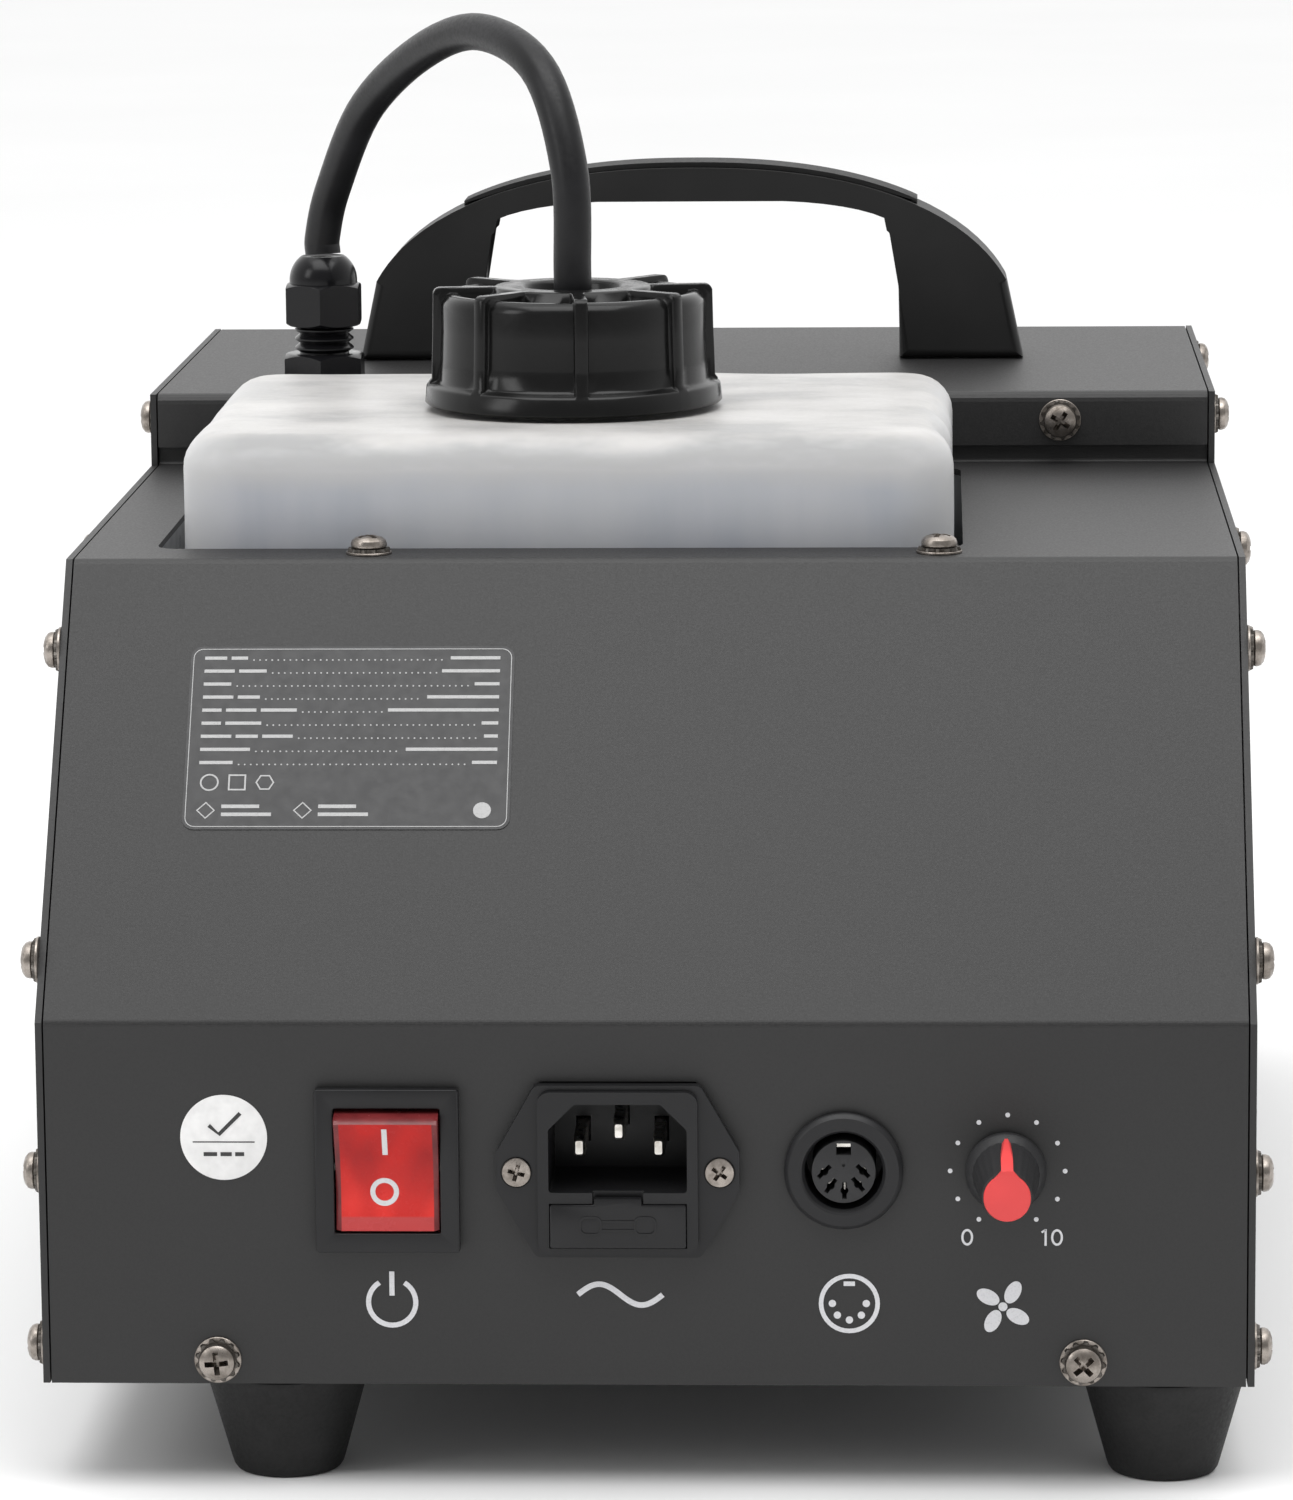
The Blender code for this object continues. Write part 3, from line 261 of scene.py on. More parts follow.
def turned(profile, axis, centre, steps=48, closed=False, shape=None, phase=0.0):
    """Turn a profile of (radius, height) points about the line along axis through centre."""
    shape = shape or bmesh.new()
    place = {
        "X": lambda a, b, h: (h, centre[0] + a, centre[1] + b),
        "Y": lambda a, b, h: (centre[0] + a, h, centre[1] + b),
        "Z": lambda a, b, h: (centre[0] + a, centre[1] + b, h),
    }[axis]
    rings = []
    for radius, height in profile:
        count = steps if radius > 0 else 1
        ring = []
        for i in range(count):
            angle = phase + math.tau * i / steps
            ring.append(shape.verts.new(place(radius * math.cos(angle), radius * math.sin(angle), height)))
        rings.append(ring)
    skin(shape, rings, closed)
    return shape


def rod(axis, centre, radius, low, high, steps=32, shape=None, phase=0.0):
    profile = ((0.0, low), (radius, low), (radius, high), (0.0, high))
    return turned(profile, axis, centre, steps, shape=shape, phase=phase)


def rectangle(low, high, corner=0.0, steps=5):
    """A rectangle's outline, with quarter arcs at its corners when corner is more than zero."""
    if corner == 0.0:
        return [(low[0], low[1]), (high[0], low[1]), (high[0], high[1]), (low[0], high[1])]
    centres = (
        (high[0] - corner, high[1] - corner),
        (low[0] + corner, high[1] - corner),
        (low[0] + corner, low[1] + corner),
        (high[0] - corner, low[1] + corner),
    )
    outline = []
    for quarter, (u, v) in enumerate(centres):
        for i in range(steps + 1):
            angle = math.pi / 2 * (quarter + i / steps)
            outline.append((u + corner * math.cos(angle), v + corner * math.sin(angle)))
    return outline


def rounded(outline, radius, steps=4):
    """The outline with an arc at each corner, for convex corners and small radii."""
    points = [Vector(p) for p in outline]
    result = []
    for before, corner, after in zip(points[-1:] + points[:-1], points, points[1:] + points[:1]):
        a = (before - corner).normalized()
        b = (after - corner).normalized()
        angle = a.angle(b)
        reach = radius / math.tan(angle / 2)
        start = corner + a * reach
        end = corner + b * reach
        centre = corner + (a + b).normalized() * (radius / math.sin(angle / 2))
        sweep = (start - centre).angle_signed(end - centre)
        for i in range(steps + 1):
            spoke = Matrix.Rotation(-sweep * i / steps, 2) @ (start - centre)
            result.append(tuple(centre + spoke))
    return result


def centred(centre, size):
    low = (centre[0] - size[0] / 2, centre[1] - size[1] / 2)
    high = (centre[0] + size[0] / 2, centre[1] + size[1] / 2)
    return low, high


def joined(*shapes):
    """One shape that holds them all."""
    total = bmesh.new()
    for shape in shapes:
        carrier = bpy.data.meshes.new("carrier")
        shape.to_mesh(carrier)
        shape.free()
        total.from_mesh(carrier)
        bpy.data.meshes.remove(carrier)
    return total


def moved(shape, matrix):
    bmesh.ops.transform(shape, matrix=matrix, verts=shape.verts)
    return shape


def raw_object(name, shape):
    """An object with no material yet, from a shape in case coordinates, in place in the row frame."""
    bmesh.ops.recalc_face_normals(shape, faces=shape.faces)
    bmesh.ops.translate(shape, verts=shape.verts, vec=CASE)
    mesh = bpy.data.meshes.new(name)
    shape.to_mesh(mesh)
    shape.free()
    obj = bpy.data.objects.new(name, mesh)
    bpy.context.scene.collection.objects.link(obj)
    return obj


def bake_modifiers(obj):
    """Put what the modifiers make into the object's own mesh."""
    depsgraph = bpy.context.evaluated_depsgraph_get()
    result = bpy.data.meshes.new_from_object(obj.evaluated_get(depsgraph))
    old = obj.data
    obj.modifiers.clear()
    obj.data = result
    bpy.data.meshes.remove(old)
    obj.data.name = obj.name


def boolean(obj, shape, operation="DIFFERENCE"):
    """Cut shape out of obj, or join it on, straight away."""
    helper = raw_object("helper", shape)
    step = obj.modifiers.new("boolean", "BOOLEAN")
    step.operation = operation
    step.object = helper
    bake_modifiers(obj)
    mesh = helper.data
    bpy.data.objects.remove(helper)
    bpy.data.meshes.remove(mesh)


def bevelled(obj, width, segments=3, angle=35.0):
    step = obj.modifiers.new("bevel", "BEVEL")
    step.width = width
    step.segments = segments
    step.limit_method = "ANGLE"
    step.angle_limit = math.radians(angle)
    step.harden_normals = False
    bake_modifiers(obj)


def smooth(obj, angle=35.0):
    obj.data.shade_smooth()
    obj.data.set_sharp_from_angle(angle=math.radians(angle))


def finish_piece(obj, looks, body, replaces=(), angle=35.0):
    """Shade the piece, give it its materials and fix it to its body."""
    smooth(obj, angle)
    for look in looks if isinstance(looks, (list, tuple)) else [looks]:
        obj.data.materials.append(look)
    if body:
        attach(obj, body)
    if replaces:
        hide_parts(*replaces)
    return obj


def smooth_route(route, count):
    """Points read from a Catmull-Rom curve through the route."""
    points = [Vector(p) for p in route]
    points = [2 * points[0] - points[1]] + points + [2 * points[-1] - points[-2]]
    spans = len(route) - 1
    found = []
    for i in range(count):
        at = spans * i / (count - 1)
        span = min(int(at), spans - 1)
        t = at - span
        a, b, c, d = points[span:span + 4]
        found.append(0.5 * (
            2 * b + (c - a) * t
            + (2 * a - 5 * b + 4 * c - d) * t**2
            + (3 * b - a - 3 * c + d) * t**3
        ))
    return found


def tube(points, radius, sides=20):
    """A round tube along points, each ring turned from the last with no twist."""
    shape = bmesh.new()
    tangents = []
    for i in range(len(points)):
        before = points[max(i - 1, 0)]
        after = points[min(i + 1, len(points) - 1)]
        tangents.append((after - before).normalized())
    across = tangents[0].orthogonal().normalized()
    rings = []
    for point, along in zip(points, tangents):
        across = (across - along * across.dot(along)).normalized()
        side = along.cross(across)
        ring = []
        for k in range(sides):
            angle = math.tau * k / sides
            ring.append(shape.verts.new(point + radius * (across * math.cos(angle) + side * math.sin(angle))))
        rings.append(ring)
    solid(shape, rings)
    return shape


# ---------------------------------------------------------------------------------------------
# Materials
# ---------------------------------------------------------------------------------------------


class Look:
    """A Principled material, and short ways to drive it by procedural textures."""

    def __init__(self, name, colour, roughness, metallic=0.0):
        self.material = bpy.data.materials.new(name)
        self.material.use_nodes = True
        self.nodes = self.material.node_tree.nodes
        self.links = self.material.node_tree.links
        self.shader = self.nodes["Principled BSDF"]
        self.shader.inputs["Base Color"].default_value = (*colour, 1.0)
        self.shader.inputs["Roughness"].default_value = roughness
        self.shader.inputs["Metallic"].default_value = metallic
        self.places = self.nodes.new("ShaderNodeTexCoord").outputs["Object"]
        self.height = None

    def set(self, **values):
        for name, value in values.items():
            self.shader.inputs[name.replace("_", " ")].default_value = value
        return self

    def stretched(self, scale):
        mapping = self.nodes.new("ShaderNodeMapping")
        mapping.inputs["Scale"].default_value = scale
        self.links.new(self.places, mapping.inputs["Vector"])
        return mapping.outputs["Vector"]

    def noise(self, scale, detail=3.0, rough=0.5, stretch=None):
        node = self.nodes.new("ShaderNodeTexNoise")
        node.inputs["Scale"].default_value = scale
        node.inputs["Detail"].default_value = detail
        node.inputs["Roughness"].default_value = rough
        self.links.new(self.stretched(stretch) if stretch else self.places, node.inputs["Vector"])
        return node.outputs["Fac"]

    def cells(self, scale, feature="F1", stretch=None):
        node = self.nodes.new("ShaderNodeTexVoronoi")
        node.feature = feature
        node.inputs["Scale"].default_value = scale
        self.links.new(self.stretched(stretch) if stretch else self.places, node.inputs["Vector"])
        return node.outputs["Distance"]

    def span(self, source, low, high, start=0.3, end=0.7):
        """Map a texture from start..end to low..high."""
        node = self.nodes.new("ShaderNodeMapRange")
        node.inputs["From Min"].default_value = start
        node.inputs["From Max"].default_value = end
        node.inputs["To Min"].default_value = low
        node.inputs["To Max"].default_value = high
        self.links.new(source, node.inputs["Value"])
        return node.outputs["Result"]

    def sum(self, first, second, operation="ADD"):
        node = self.nodes.new("ShaderNodeMath")
        node.operation = operation
        self.links.new(first, node.inputs[0])
        if isinstance(second, (int, float)):
            node.inputs[1].default_value = second
        else:
            self.links.new(second, node.inputs[1])
        return node.outputs["Value"]

    def mixed(self, factor, first, second):
        """Mix two colours, each a socket or (r, g, b), by factor."""
        node = self.nodes.new("ShaderNodeMix")
        node.data_type = "RGBA"
        self.links.new(factor, node.inputs["Factor"])
        for name, value in (("A", first), ("B", second)):
            socket = [s for s in node.inputs if s.name == name and s.type == "RGBA"][0]
            if isinstance(value, tuple):
                socket.default_value = (*value, 1.0)
            else:
                self.links.new(value, socket)
        return [s for s in node.outputs if s.type == "RGBA"][0]

    def axis(self, name):
        node = self.nodes.new("ShaderNodeSeparateXYZ")
        self.links.new(self.places, node.inputs["Vector"])
        return node.outputs[name]

    def colour(self, source):
        self.links.new(source, self.shader.inputs["Base Color"])
        return self

    def roughness(self, source):
        self.links.new(source, self.shader.inputs["Roughness"])
        return self

    def bump(self, source, strength, distance):
        node = self.nodes.new("ShaderNodeBump")
        node.inputs["Strength"].default_value = strength
        node.inputs["Distance"].default_value = distance
        self.links.new(source, node.inputs["Height"])
        if self.height is not None:
            self.links.new(self.height, node.inputs["Normal"])
        self.height = node.outputs["Normal"]
        self.links.new(self.height, self.shader.inputs["Normal"])
        return self


def powder_coat(name, tone=0.013):
    """Fine-textured black powder coat on steel."""
    look = Look(name, (tone, tone, tone), 0.5).set(Specular_IOR_Level=0.50)
    grain = look.noise(2600.0, 2.0, 0.6)
    cloud = look.noise(14.0, 3.0, 0.55)
    shade = look.sum(look.span(grain, -0.006, 0.010), look.span(cloud, 0.0, 0.004))
    low = (tone * 0.80, tone * 0.80, tone * 0.82)
    high = (tone * 1.55, tone * 1.52, tone * 1.52)
    look.colour(look.mixed(look.span(shade, 0.0, 1.0, -0.006, 0.014), low, high))
    look.roughness(look.span(grain, 0.44, 0.58))
    look.bump(grain, 0.30, 0.00006)
    return look.material


def moulded_plastic(name, tone, roughness, grain_scale=1800.0, grain=0.12):
    """Moulded plastic or nylon: fine grain, faint flow clouds and a few handling marks."""
    look = Look(name, tone, roughness).set(Specular_IOR_Level=0.28)
    fine = look.noise(grain_scale, 2.0, 0.6)
    cloud = look.noise(30.0, 3.0, 0.6)
    low = tuple(c * 0.82 for c in tone)
    high = tuple(c * 1.28 for c in tone)
    look.colour(look.mixed(look.span(cloud, 0.0, 1.0), low, high))
    sheen = look.span(cloud, roughness - 0.05, roughness + 0.06)
    look.roughness(look.sum(sheen, look.span(fine, -0.03, 0.03)))
    look.bump(fine, grain, 0.00004)
    return look.material


def rubber(name, tone, roughness=0.62):
    look = Look(name, tone, roughness).set(Specular_IOR_Level=0.30)
    fine = look.noise(1400.0, 3.0, 0.65)
    dust = look.noise(60.0, 4.0, 0.6)
    low = tuple(c * 0.8 for c in tone)
    high = tuple(c * 1.7 for c in tone)
    look.colour(look.mixed(look.span(dust, 0.0, 1.0, 0.42, 0.75), low, high))
    look.roughness(look.span(fine, roughness - 0.08, roughness + 0.10))
    look.bump(fine, 0.18, 0.00005)
    return look.material


def plated(name, tone, roughness=0.28, soil=(0.09, 0.075, 0.06)):
    """Plated metal with fine turning marks and a brown film in places."""
    look = Look(name, tone, roughness, 1.0)
    film = look.noise(420.0, 4.0, 0.65)
    marks = look.noise(5200.0, 2.0, 0.5)
    look.colour(look.mixed(look.span(film, 0.0, 0.75, 0.42, 0.72), tone, soil))
    sheen = look.span(film, roughness - 0.06, roughness + 0.22)
    look.roughness(look.sum(sheen, look.span(marks, -0.04, 0.04)))
    look.bump(marks, 0.15, 0.00003)
    return look.material


def sheet_metal(name, tone, roughness=0.38):
    """Zinc-plated sheet with a crystalline spangle and rolling direction."""
    look = Look(name, tone, roughness, 1.0)
    spangle = look.cells(130.0)
    rolled = look.noise(300.0, 2.0, 0.5, (1.0, 14.0, 14.0))
    low = tuple(c * 0.72 for c in tone)
    look.colour(look.mixed(look.span(spangle, 0.0, 1.0, 0.1, 0.8), tone, low))
    sheen = look.span(spangle, roughness - 0.08, roughness + 0.10)
    look.roughness(look.sum(sheen, look.span(rolled, -0.05, 0.05)))
    look.bump(rolled, 0.08, 0.00004)
    return look.material


def cast_metal(name, tone):
    look = Look(name, tone, 0.5, 1.0)
    grit = look.noise(900.0, 4.0, 0.7)
    stain = look.noise(70.0, 3.0, 0.6)
    low = tuple(c * 0.6 for c in tone)
    look.colour(look.mixed(look.span(stain, 0.0, 1.0), tone, low))
    look.roughness(look.span(grit, 0.40, 0.62))
    look.bump(grit, 0.5, 0.00012)
    return look.material


def brushed(name, tone, roughness=0.3):
    look = Look(name, tone, roughness, 1.0)
    lines = look.noise(700.0, 2.0, 0.5, (1.0, 1.0, 20.0))
    look.colour(look.mixed(look.span(lines, 0.0, 1.0), tone, tuple(c * 0.75 for c in tone)))
    look.roughness(look.span(lines, roughness - 0.06, roughness + 0.12))
    look.bump(lines, 0.12, 0.00004)
    return look.material


def polythene():
    """Blow-moulded natural polythene, with light and shade painted into its colour: painted shade of the dark
    bay seen through the wall makes the face bluer and darker than the whiter top, painted light makes the
    corners at the side ends whiter, and painted shade darkens a band round the shoulder.
    """
    look = Look("natural_polythene", (0.50, 0.51, 0.53), 0.40).set(Specular_IOR_Level=0.35)
    height = look.axis("Z")
    streak = look.noise(80.0, 3.0, 0.55, (1.0, 1.0, 0.15))
    cloud = look.noise(24.0, 3.0, 0.55)
    wisps = look.noise(60.0, 4.0, 0.6, (0.5, 1.0, 1.0))
    speck = look.noise(900.0, 2.0, 0.5)
    # Painted shade: the face's bluer, darker grey stands in for the dark bay seen through the wall.
    face = look.mixed(look.span(streak, 0.0, 1.0, 0.35, 0.65), (0.375, 0.395, 0.440), (0.45, 0.46, 0.495))
    face = look.mixed(look.span(cloud, 0.0, 0.6, 0.42, 0.68), face, (0.50, 0.51, 0.53))
    crown = look.mixed(look.span(wisps, 0.0, 1.0, 0.35, 0.65), (0.39, 0.383, 0.375), (0.52, 0.51, 0.50))
    edge = look.sum(height, look.span(wisps, -0.0020, 0.0020), "ADD")
    body = look.mixed(look.span(edge, 0.0, 1.0, 0.1690, 0.1730), face, (0.47, 0.47, 0.475))
    # Painted shade: a darker band round the shoulder, under the whiter top.
    shoulder = look.mixed(look.span(wisps, 0.0, 1.0, 0.40, 0.60), (0.34, 0.34, 0.34), (0.44, 0.44, 0.44))
    body = look.mixed(look.span(edge, 0.0, 1.0, 0.1735, 0.1765), body, shoulder)
    # Painted light: the side ends grow lighter towards their outer edges.
    side = look.sum(look.axis("X"), -(TANK_LOW.x + TANK_HIGH.x) / 2)
    side = look.sum(side, 0.0, "ABSOLUTE")
    body = look.mixed(look.span(side, 0.0, 0.7, 0.060, 0.071), body, (0.56, 0.56, 0.56))
    look.colour(look.mixed(look.span(edge, 0.0, 1.0, 0.1776, 0.1798), body, crown))
    look.roughness(look.sum(look.span(cloud, 0.34, 0.46), look.span(speck, -0.03, 0.04)))
    look.bump(cloud, 0.25, 0.0006)
    look.bump(speck, 0.10, 0.00005)
    look.set(Subsurface_Weight=0.25, Subsurface_Radius=(0.010, 0.010, 0.012), Subsurface_Scale=0.5)
    return look.material


def translucent_red():
    """The rocker's clear red face, with light and shade painted into its colour: painted shade makes it a
    deeper red high up, painted light makes it paler low down, and a painted highlight lies along its lower
    end.
    """
    look = Look("translucent_red", (0.55, 0.014, 0.010), 0.24).set(Specular_IOR_Level=0.25)
    depth = look.noise(170.0, 1.0, 0.4, (1.0, 1.0, 0.6))
    # Painted shade: the upper half a deeper, darker red.
    upper = look.mixed(look.span(depth, 0.0, 1.0, 0.35, 0.65), (0.36, 0.009, 0.009), (0.52, 0.013, 0.010))
    # Painted light: the lower half a paler red.
    lower = look.mixed(look.span(depth, 0.0, 1.0, 0.35, 0.65), (0.58, 0.020, 0.016), (0.76, 0.034, 0.026))
    height = look.axis("Z")
    middle = SWITCH[1] + CASE_Z
    painted_shade_and_light = look.mixed(look.span(height, 0.0, 1.0, middle + 0.0030, middle - 0.0060), upper, lower)
    # Painted highlight: a paler pink strip along the rocker's lower end.
    painted_highlight_strip = look.span(height, 0.0, 1.0, middle - 0.0082, middle - 0.0086)
    look.colour(look.mixed(painted_highlight_strip, painted_shade_and_light, (0.50, 0.060, 0.060)))
    look.roughness(look.span(look.noise(900.0), 0.20, 0.30))
    return look.material


def rocker_rim():
    """The clear red rim, which looks dark and greyish because no light comes through it."""
    look = Look("rocker_rim_red", (0.16, 0.020, 0.022), 0.22).set(Specular_IOR_Level=0.35)
    depth = look.noise(240.0, 2.0, 0.5)
    look.colour(look.mixed(look.span(depth, 0.0, 1.0), (0.11, 0.014, 0.016), (0.20, 0.028, 0.030)))
    look.roughness(look.span(look.noise(900.0), 0.18, 0.28))
    return look.material


def ink(name, tone, roughness=0.5):
    """Screen-printed ink: slightly uneven density."""
    look = Look(name, tone, roughness)
    pores = look.noise(3000.0, 2.0, 0.6)
    look.colour(look.mixed(look.span(pores, 0.0, 0.5, 0.5, 0.8), tone, tuple(c * 0.62 for c in tone)))
    look.roughness(look.span(pores, roughness - 0.08, roughness + 0.1))
    return look.material


def label_film(name, tone, roughness=0.35):
    """Polyester label film: faint orange peel under a satin face."""
    look = Look(name, tone, roughness)
    peel = look.noise(500.0, 2.0, 0.5)
    look.colour(look.mixed(look.span(peel, 0.0, 1.0), tone, tuple(min(1.0, c * 1.12) for c in tone)))
    look.roughness(look.span(peel, roughness - 0.05, roughness + 0.07))
    look.bump(peel, 0.1, 0.00004)
    return look.material


def laminate():
    look = Look("green_laminate", (0.02, 0.13, 0.05), 0.4)
    weave = look.noise(260.0, 2.0, 0.5)
    tracks = look.cells(220.0, "DISTANCE_TO_EDGE")
    look.colour(look.mixed(look.span(tracks, 1.0, 0.0, 0.02, 0.05), (0.015, 0.10, 0.04), (0.035, 0.19, 0.08)))
    look.roughness(look.span(weave, 0.32, 0.48))
    look.bump(tracks, 0.2, 0.00005)
    return look.material


def fuse_glass():
    look = Look("fuse_glass", (0.80, 0.84, 0.84), 0.08)
    band = look.noise(300.0, 2.0, 0.5)
    look.roughness(look.span(band, 0.05, 0.16))
    look.colour(look.mixed(look.span(band, 0.0, 1.0), (0.70, 0.75, 0.75), (0.88, 0.90, 0.90)))
    return look.material


# ---------------------------------------------------------------------------------------------
# Camera, light and floor
# ---------------------------------------------------------------------------------------------


def make_camera():
    yaw, down, roll = (math.radians(a) for a in (CAMERA_YAW, CAMERA_DOWN, CAMERA_ROLL))
    ahead = Vector((math.sin(yaw) * math.cos(down), math.cos(yaw) * math.cos(down), -math.sin(down)))
    level = Vector((math.cos(yaw), -math.sin(yaw), 0.0))
    below = ahead.cross(level)
    right = math.cos(roll) * level + math.sin(roll) * below
    under = -math.sin(roll) * level + math.cos(roll) * below
    data = bpy.data.cameras.new("camera")
    data.lens = CAMERA_LENS
    data.sensor_width = 36.0
    data.clip_start = 0.05
    data.clip_end = 60.0
    camera = bpy.data.objects.new("camera", data)
    turn = Matrix((right, -under, -ahead)).transposed().to_4x4()
    camera.matrix_world = Matrix.Translation(CAMERA_PLACE) @ turn
    bpy.context.scene.collection.objects.link(camera)
    bpy.context.scene.camera = camera


def area_light(name, place, target, size, power, colour=(1.0, 1.0, 1.0)):
    data = bpy.data.lights.new(name, "AREA")
    data.shape = "RECTANGLE"
    data.size, data.size_y = size
    data.energy = power
    data.color = colour
    light = bpy.data.objects.new(name, data)
    light.location = place
    light.rotation_euler = (Vector(target) - Vector(place)).to_track_quat("-Z", "Y").to_euler()
    bpy.context.scene.collection.objects.link(light)


def make_studio():
    world = bpy.data.worlds.new("studio")
    world.use_nodes = True
    shade = world.node_tree.nodes["Background"]
    shade.inputs["Color"].default_value = (1.0, 1.0, 1.0, 1.0)
    tree = world.node_tree
    towards = tree.nodes.new("ShaderNodeTexCoord")
    split = tree.nodes.new("ShaderNodeSeparateXYZ")
    sweep = tree.nodes.new("ShaderNodeMapRange")
    sweep.inputs["From Min"].default_value = -0.8
    sweep.inputs["From Max"].default_value = 0.8
    sweep.inputs["To Min"].default_value = WORLD_FRONT
    sweep.inputs["To Max"].default_value = WORLD_BACK
    tree.links.new(towards.outputs["Generated"], split.inputs["Vector"])
    tree.links.new(split.outputs["Y"], sweep.inputs["Value"])
    tree.links.new(sweep.outputs["Result"], shade.inputs["Strength"])
    bpy.context.scene.world = world
    bpy.context.scene.view_settings.view_transform = "Standard"
    area_light("overhead", (0.0, -0.55, 1.60), (0.0, 0.0, 0.1), (1.7, 1.2), 17.0)
    area_light("left_fill", (-1.3, -0.9, 0.9), (0.0, 0.0, 0.12), (0.5, 0.8), 4.0)
    top = bpy.data.lights.new("open_sky", "SUN")
    top.energy = SKY_POWER
    top.angle = math.radians(SKY_ANGLE)
    sky = bpy.data.objects.new("open_sky", top)
    bpy.context.scene.collection.objects.link(sky)

    look = Look("pale_floor", (0.86, 0.86, 0.86), 0.9)
    look.colour(look.mixed(look.span(look.noise(3.0), 0.0, 1.0), (0.85, 0.85, 0.85), (0.87, 0.87, 0.87)))
    shape = bmesh.new()
    square = rectangle((-FLOOR_HALF, -FLOOR_HALF), (FLOOR_HALF, FLOOR_HALF))
    shape.faces.new([shape.verts.new((x, y, 0.0)) for x, y in square])
    mesh = bpy.data.meshes.new("floor")
    shape.to_mesh(mesh)
    shape.free()
    mesh.materials.append(look.material)
    floor = bpy.data.objects.new("floor", mesh)
    bpy.context.scene.collection.objects.link(floor)


# ---------------------------------------------------------------------------------------------
# Pieces
# ---------------------------------------------------------------------------------------------


def make_hose(look):
    """The fluid hose: one tube from the gland to the cap's liner."""
    points = smooth_route(HOSE_ROUTE, HOSE_RINGS)
    hose = raw_object("hose_tube", tube(points, HOSE_R, 28))
    finish_piece(hose, look, None, ["fluid_hose"])
    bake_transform(hose)


def tank_ring(shape, inset, z, circle=0.0, radius=NECK_R):
    """One level of the tank: the rounded rectangle moved in by inset, drawn towards a circle by circle."""
    low = (TANK_LOW.x + inset, TANK_LOW.y + inset)
    high = (TANK_HIGH.x - inset, TANK_HIGH.y - inset)
    corner = max(TANK_CORNER - inset, 0.004)
    outline = rectangle(low, high, corner, 9)
    middle = Vector(CAP_CENTRE)
    ring = []
    for start, end in zip(outline, outline[1:] + outline[:1]):
        long_side = (Vector(end) - Vector(start)).length > 0.010
        steps = TANK_SIDE_STEPS if long_side else 1
        for i in range(steps):
            point = Vector(start).lerp(Vector(end), i / steps)
            round_point = middle + (point - middle).normalized() * radius
            point = point.lerp(round_point, circle)
            ring.append(shape.verts.new((*point, z)))
    return ring


def edge_levels(edge, z, rise, start_inset):
    """(inset, z) down a quarter round: rise is +1 at the bottom edge and -1 at the top one."""
    found = []
    for i in range(EDGE_STEPS + 1):
        angle = math.pi / 2 * i / EDGE_STEPS
        found.append((start_inset + edge * (1 - math.sin(angle)), z + rise * edge * (1 - math.cos(angle))))
    return found


def make_tank(look):
    """The blow-moulded tank: soft edges, faint waves and dents, a ridged neck and its inside."""
    shape = bmesh.new()
    low, high = TANK_LOW.z, TANK_HIGH.z
    wall = TANK_WALL
    levels = [(inset, z, 0.0, NECK_R) for inset, z in edge_levels(TANK_EDGE, low, 1, 0.0)]
    seams = (0.020, 0.045, 0.070, 0.095, 0.118, 0.132, 0.140, 0.145, 0.149, 0.1515)
    levels += [(0.0, z, 0.0, NECK_R) for z in seams]
    levels += [(inset, z, 0.0, NECK_R) for inset, z in reversed(edge_levels(TANK_EDGE, high, -1, 0.0))]
    dome = 0.0004
    for share in (0.15, 0.30, 0.50, 0.70, 0.88):
        levels.append((TANK_EDGE, high + dome * math.sin(math.pi * share), share, NECK_R + 0.0010))
    levels += [(TANK_EDGE, high + 0.0002, 1.0, NECK_R + 0.0010), (TANK_EDGE, high + 0.0010, 1.0, NECK_R)]
    outer_count = len(levels)
    for turn in range(3):
        z = high + 0.0035 + 0.0038 * turn
        levels += [(TANK_EDGE, z - 0.0008, 1.0, NECK_R), (TANK_EDGE, z - 0.0002, 1.0, NECK_R + 0.0003)]
        levels += [(TANK_EDGE, z + 0.0002, 1.0, NECK_R + 0.0003), (TANK_EDGE, z + 0.0008, 1.0, NECK_R)]
    levels += [(TANK_EDGE, NECK_TOP - 0.0004, 1.0, NECK_R), (TANK_EDGE, NECK_TOP, 1.0, NECK_R - 0.0004)]
    levels += [(TANK_EDGE, NECK_TOP, 1.0, NECK_BORE + 0.0003), (TANK_EDGE, NECK_TOP - 0.0003, 1.0, NECK_BORE)]
    levels += [(TANK_EDGE, high - wall, 1.0, NECK_BORE), (TANK_EDGE, high - wall, 0.4, NECK_BORE)]
    inner_edge = TANK_EDGE - wall
    levels += [(inset, z, 0.0, NECK_R) for inset, z in edge_levels(inner_edge, high - wall, -1, wall)]
    levels += [(inset, z, 0.0, NECK_R) for inset, z in reversed(edge_levels(inner_edge, low + wall, 1, wall))]
    rings = [tank_ring(shape, *level) for level in levels]
    solid(shape, rings)
    bmesh.ops.recalc_face_normals(shape, faces=shape.faces)
    shape.normal_update()
    outer = [vert for ring in rings[:outer_count - 4] for vert in ring]
    moves = []
    for vert in outer:
        out = WAVE_DEPTH * noise.noise(vert.co * WAVE_SCALE)
        for place, radius, depth in TANK_DENTS:
            out -= depth * math.exp(-((vert.co - place).length / radius) ** 2)
        moves.append(out * vert.normal)
    for vert, move in zip(outer, moves):
        vert.co += move
    tank = raw_object("tank_shell", shape)
    finish_piece(tank, look, "tank", ["tank"], 50.0)


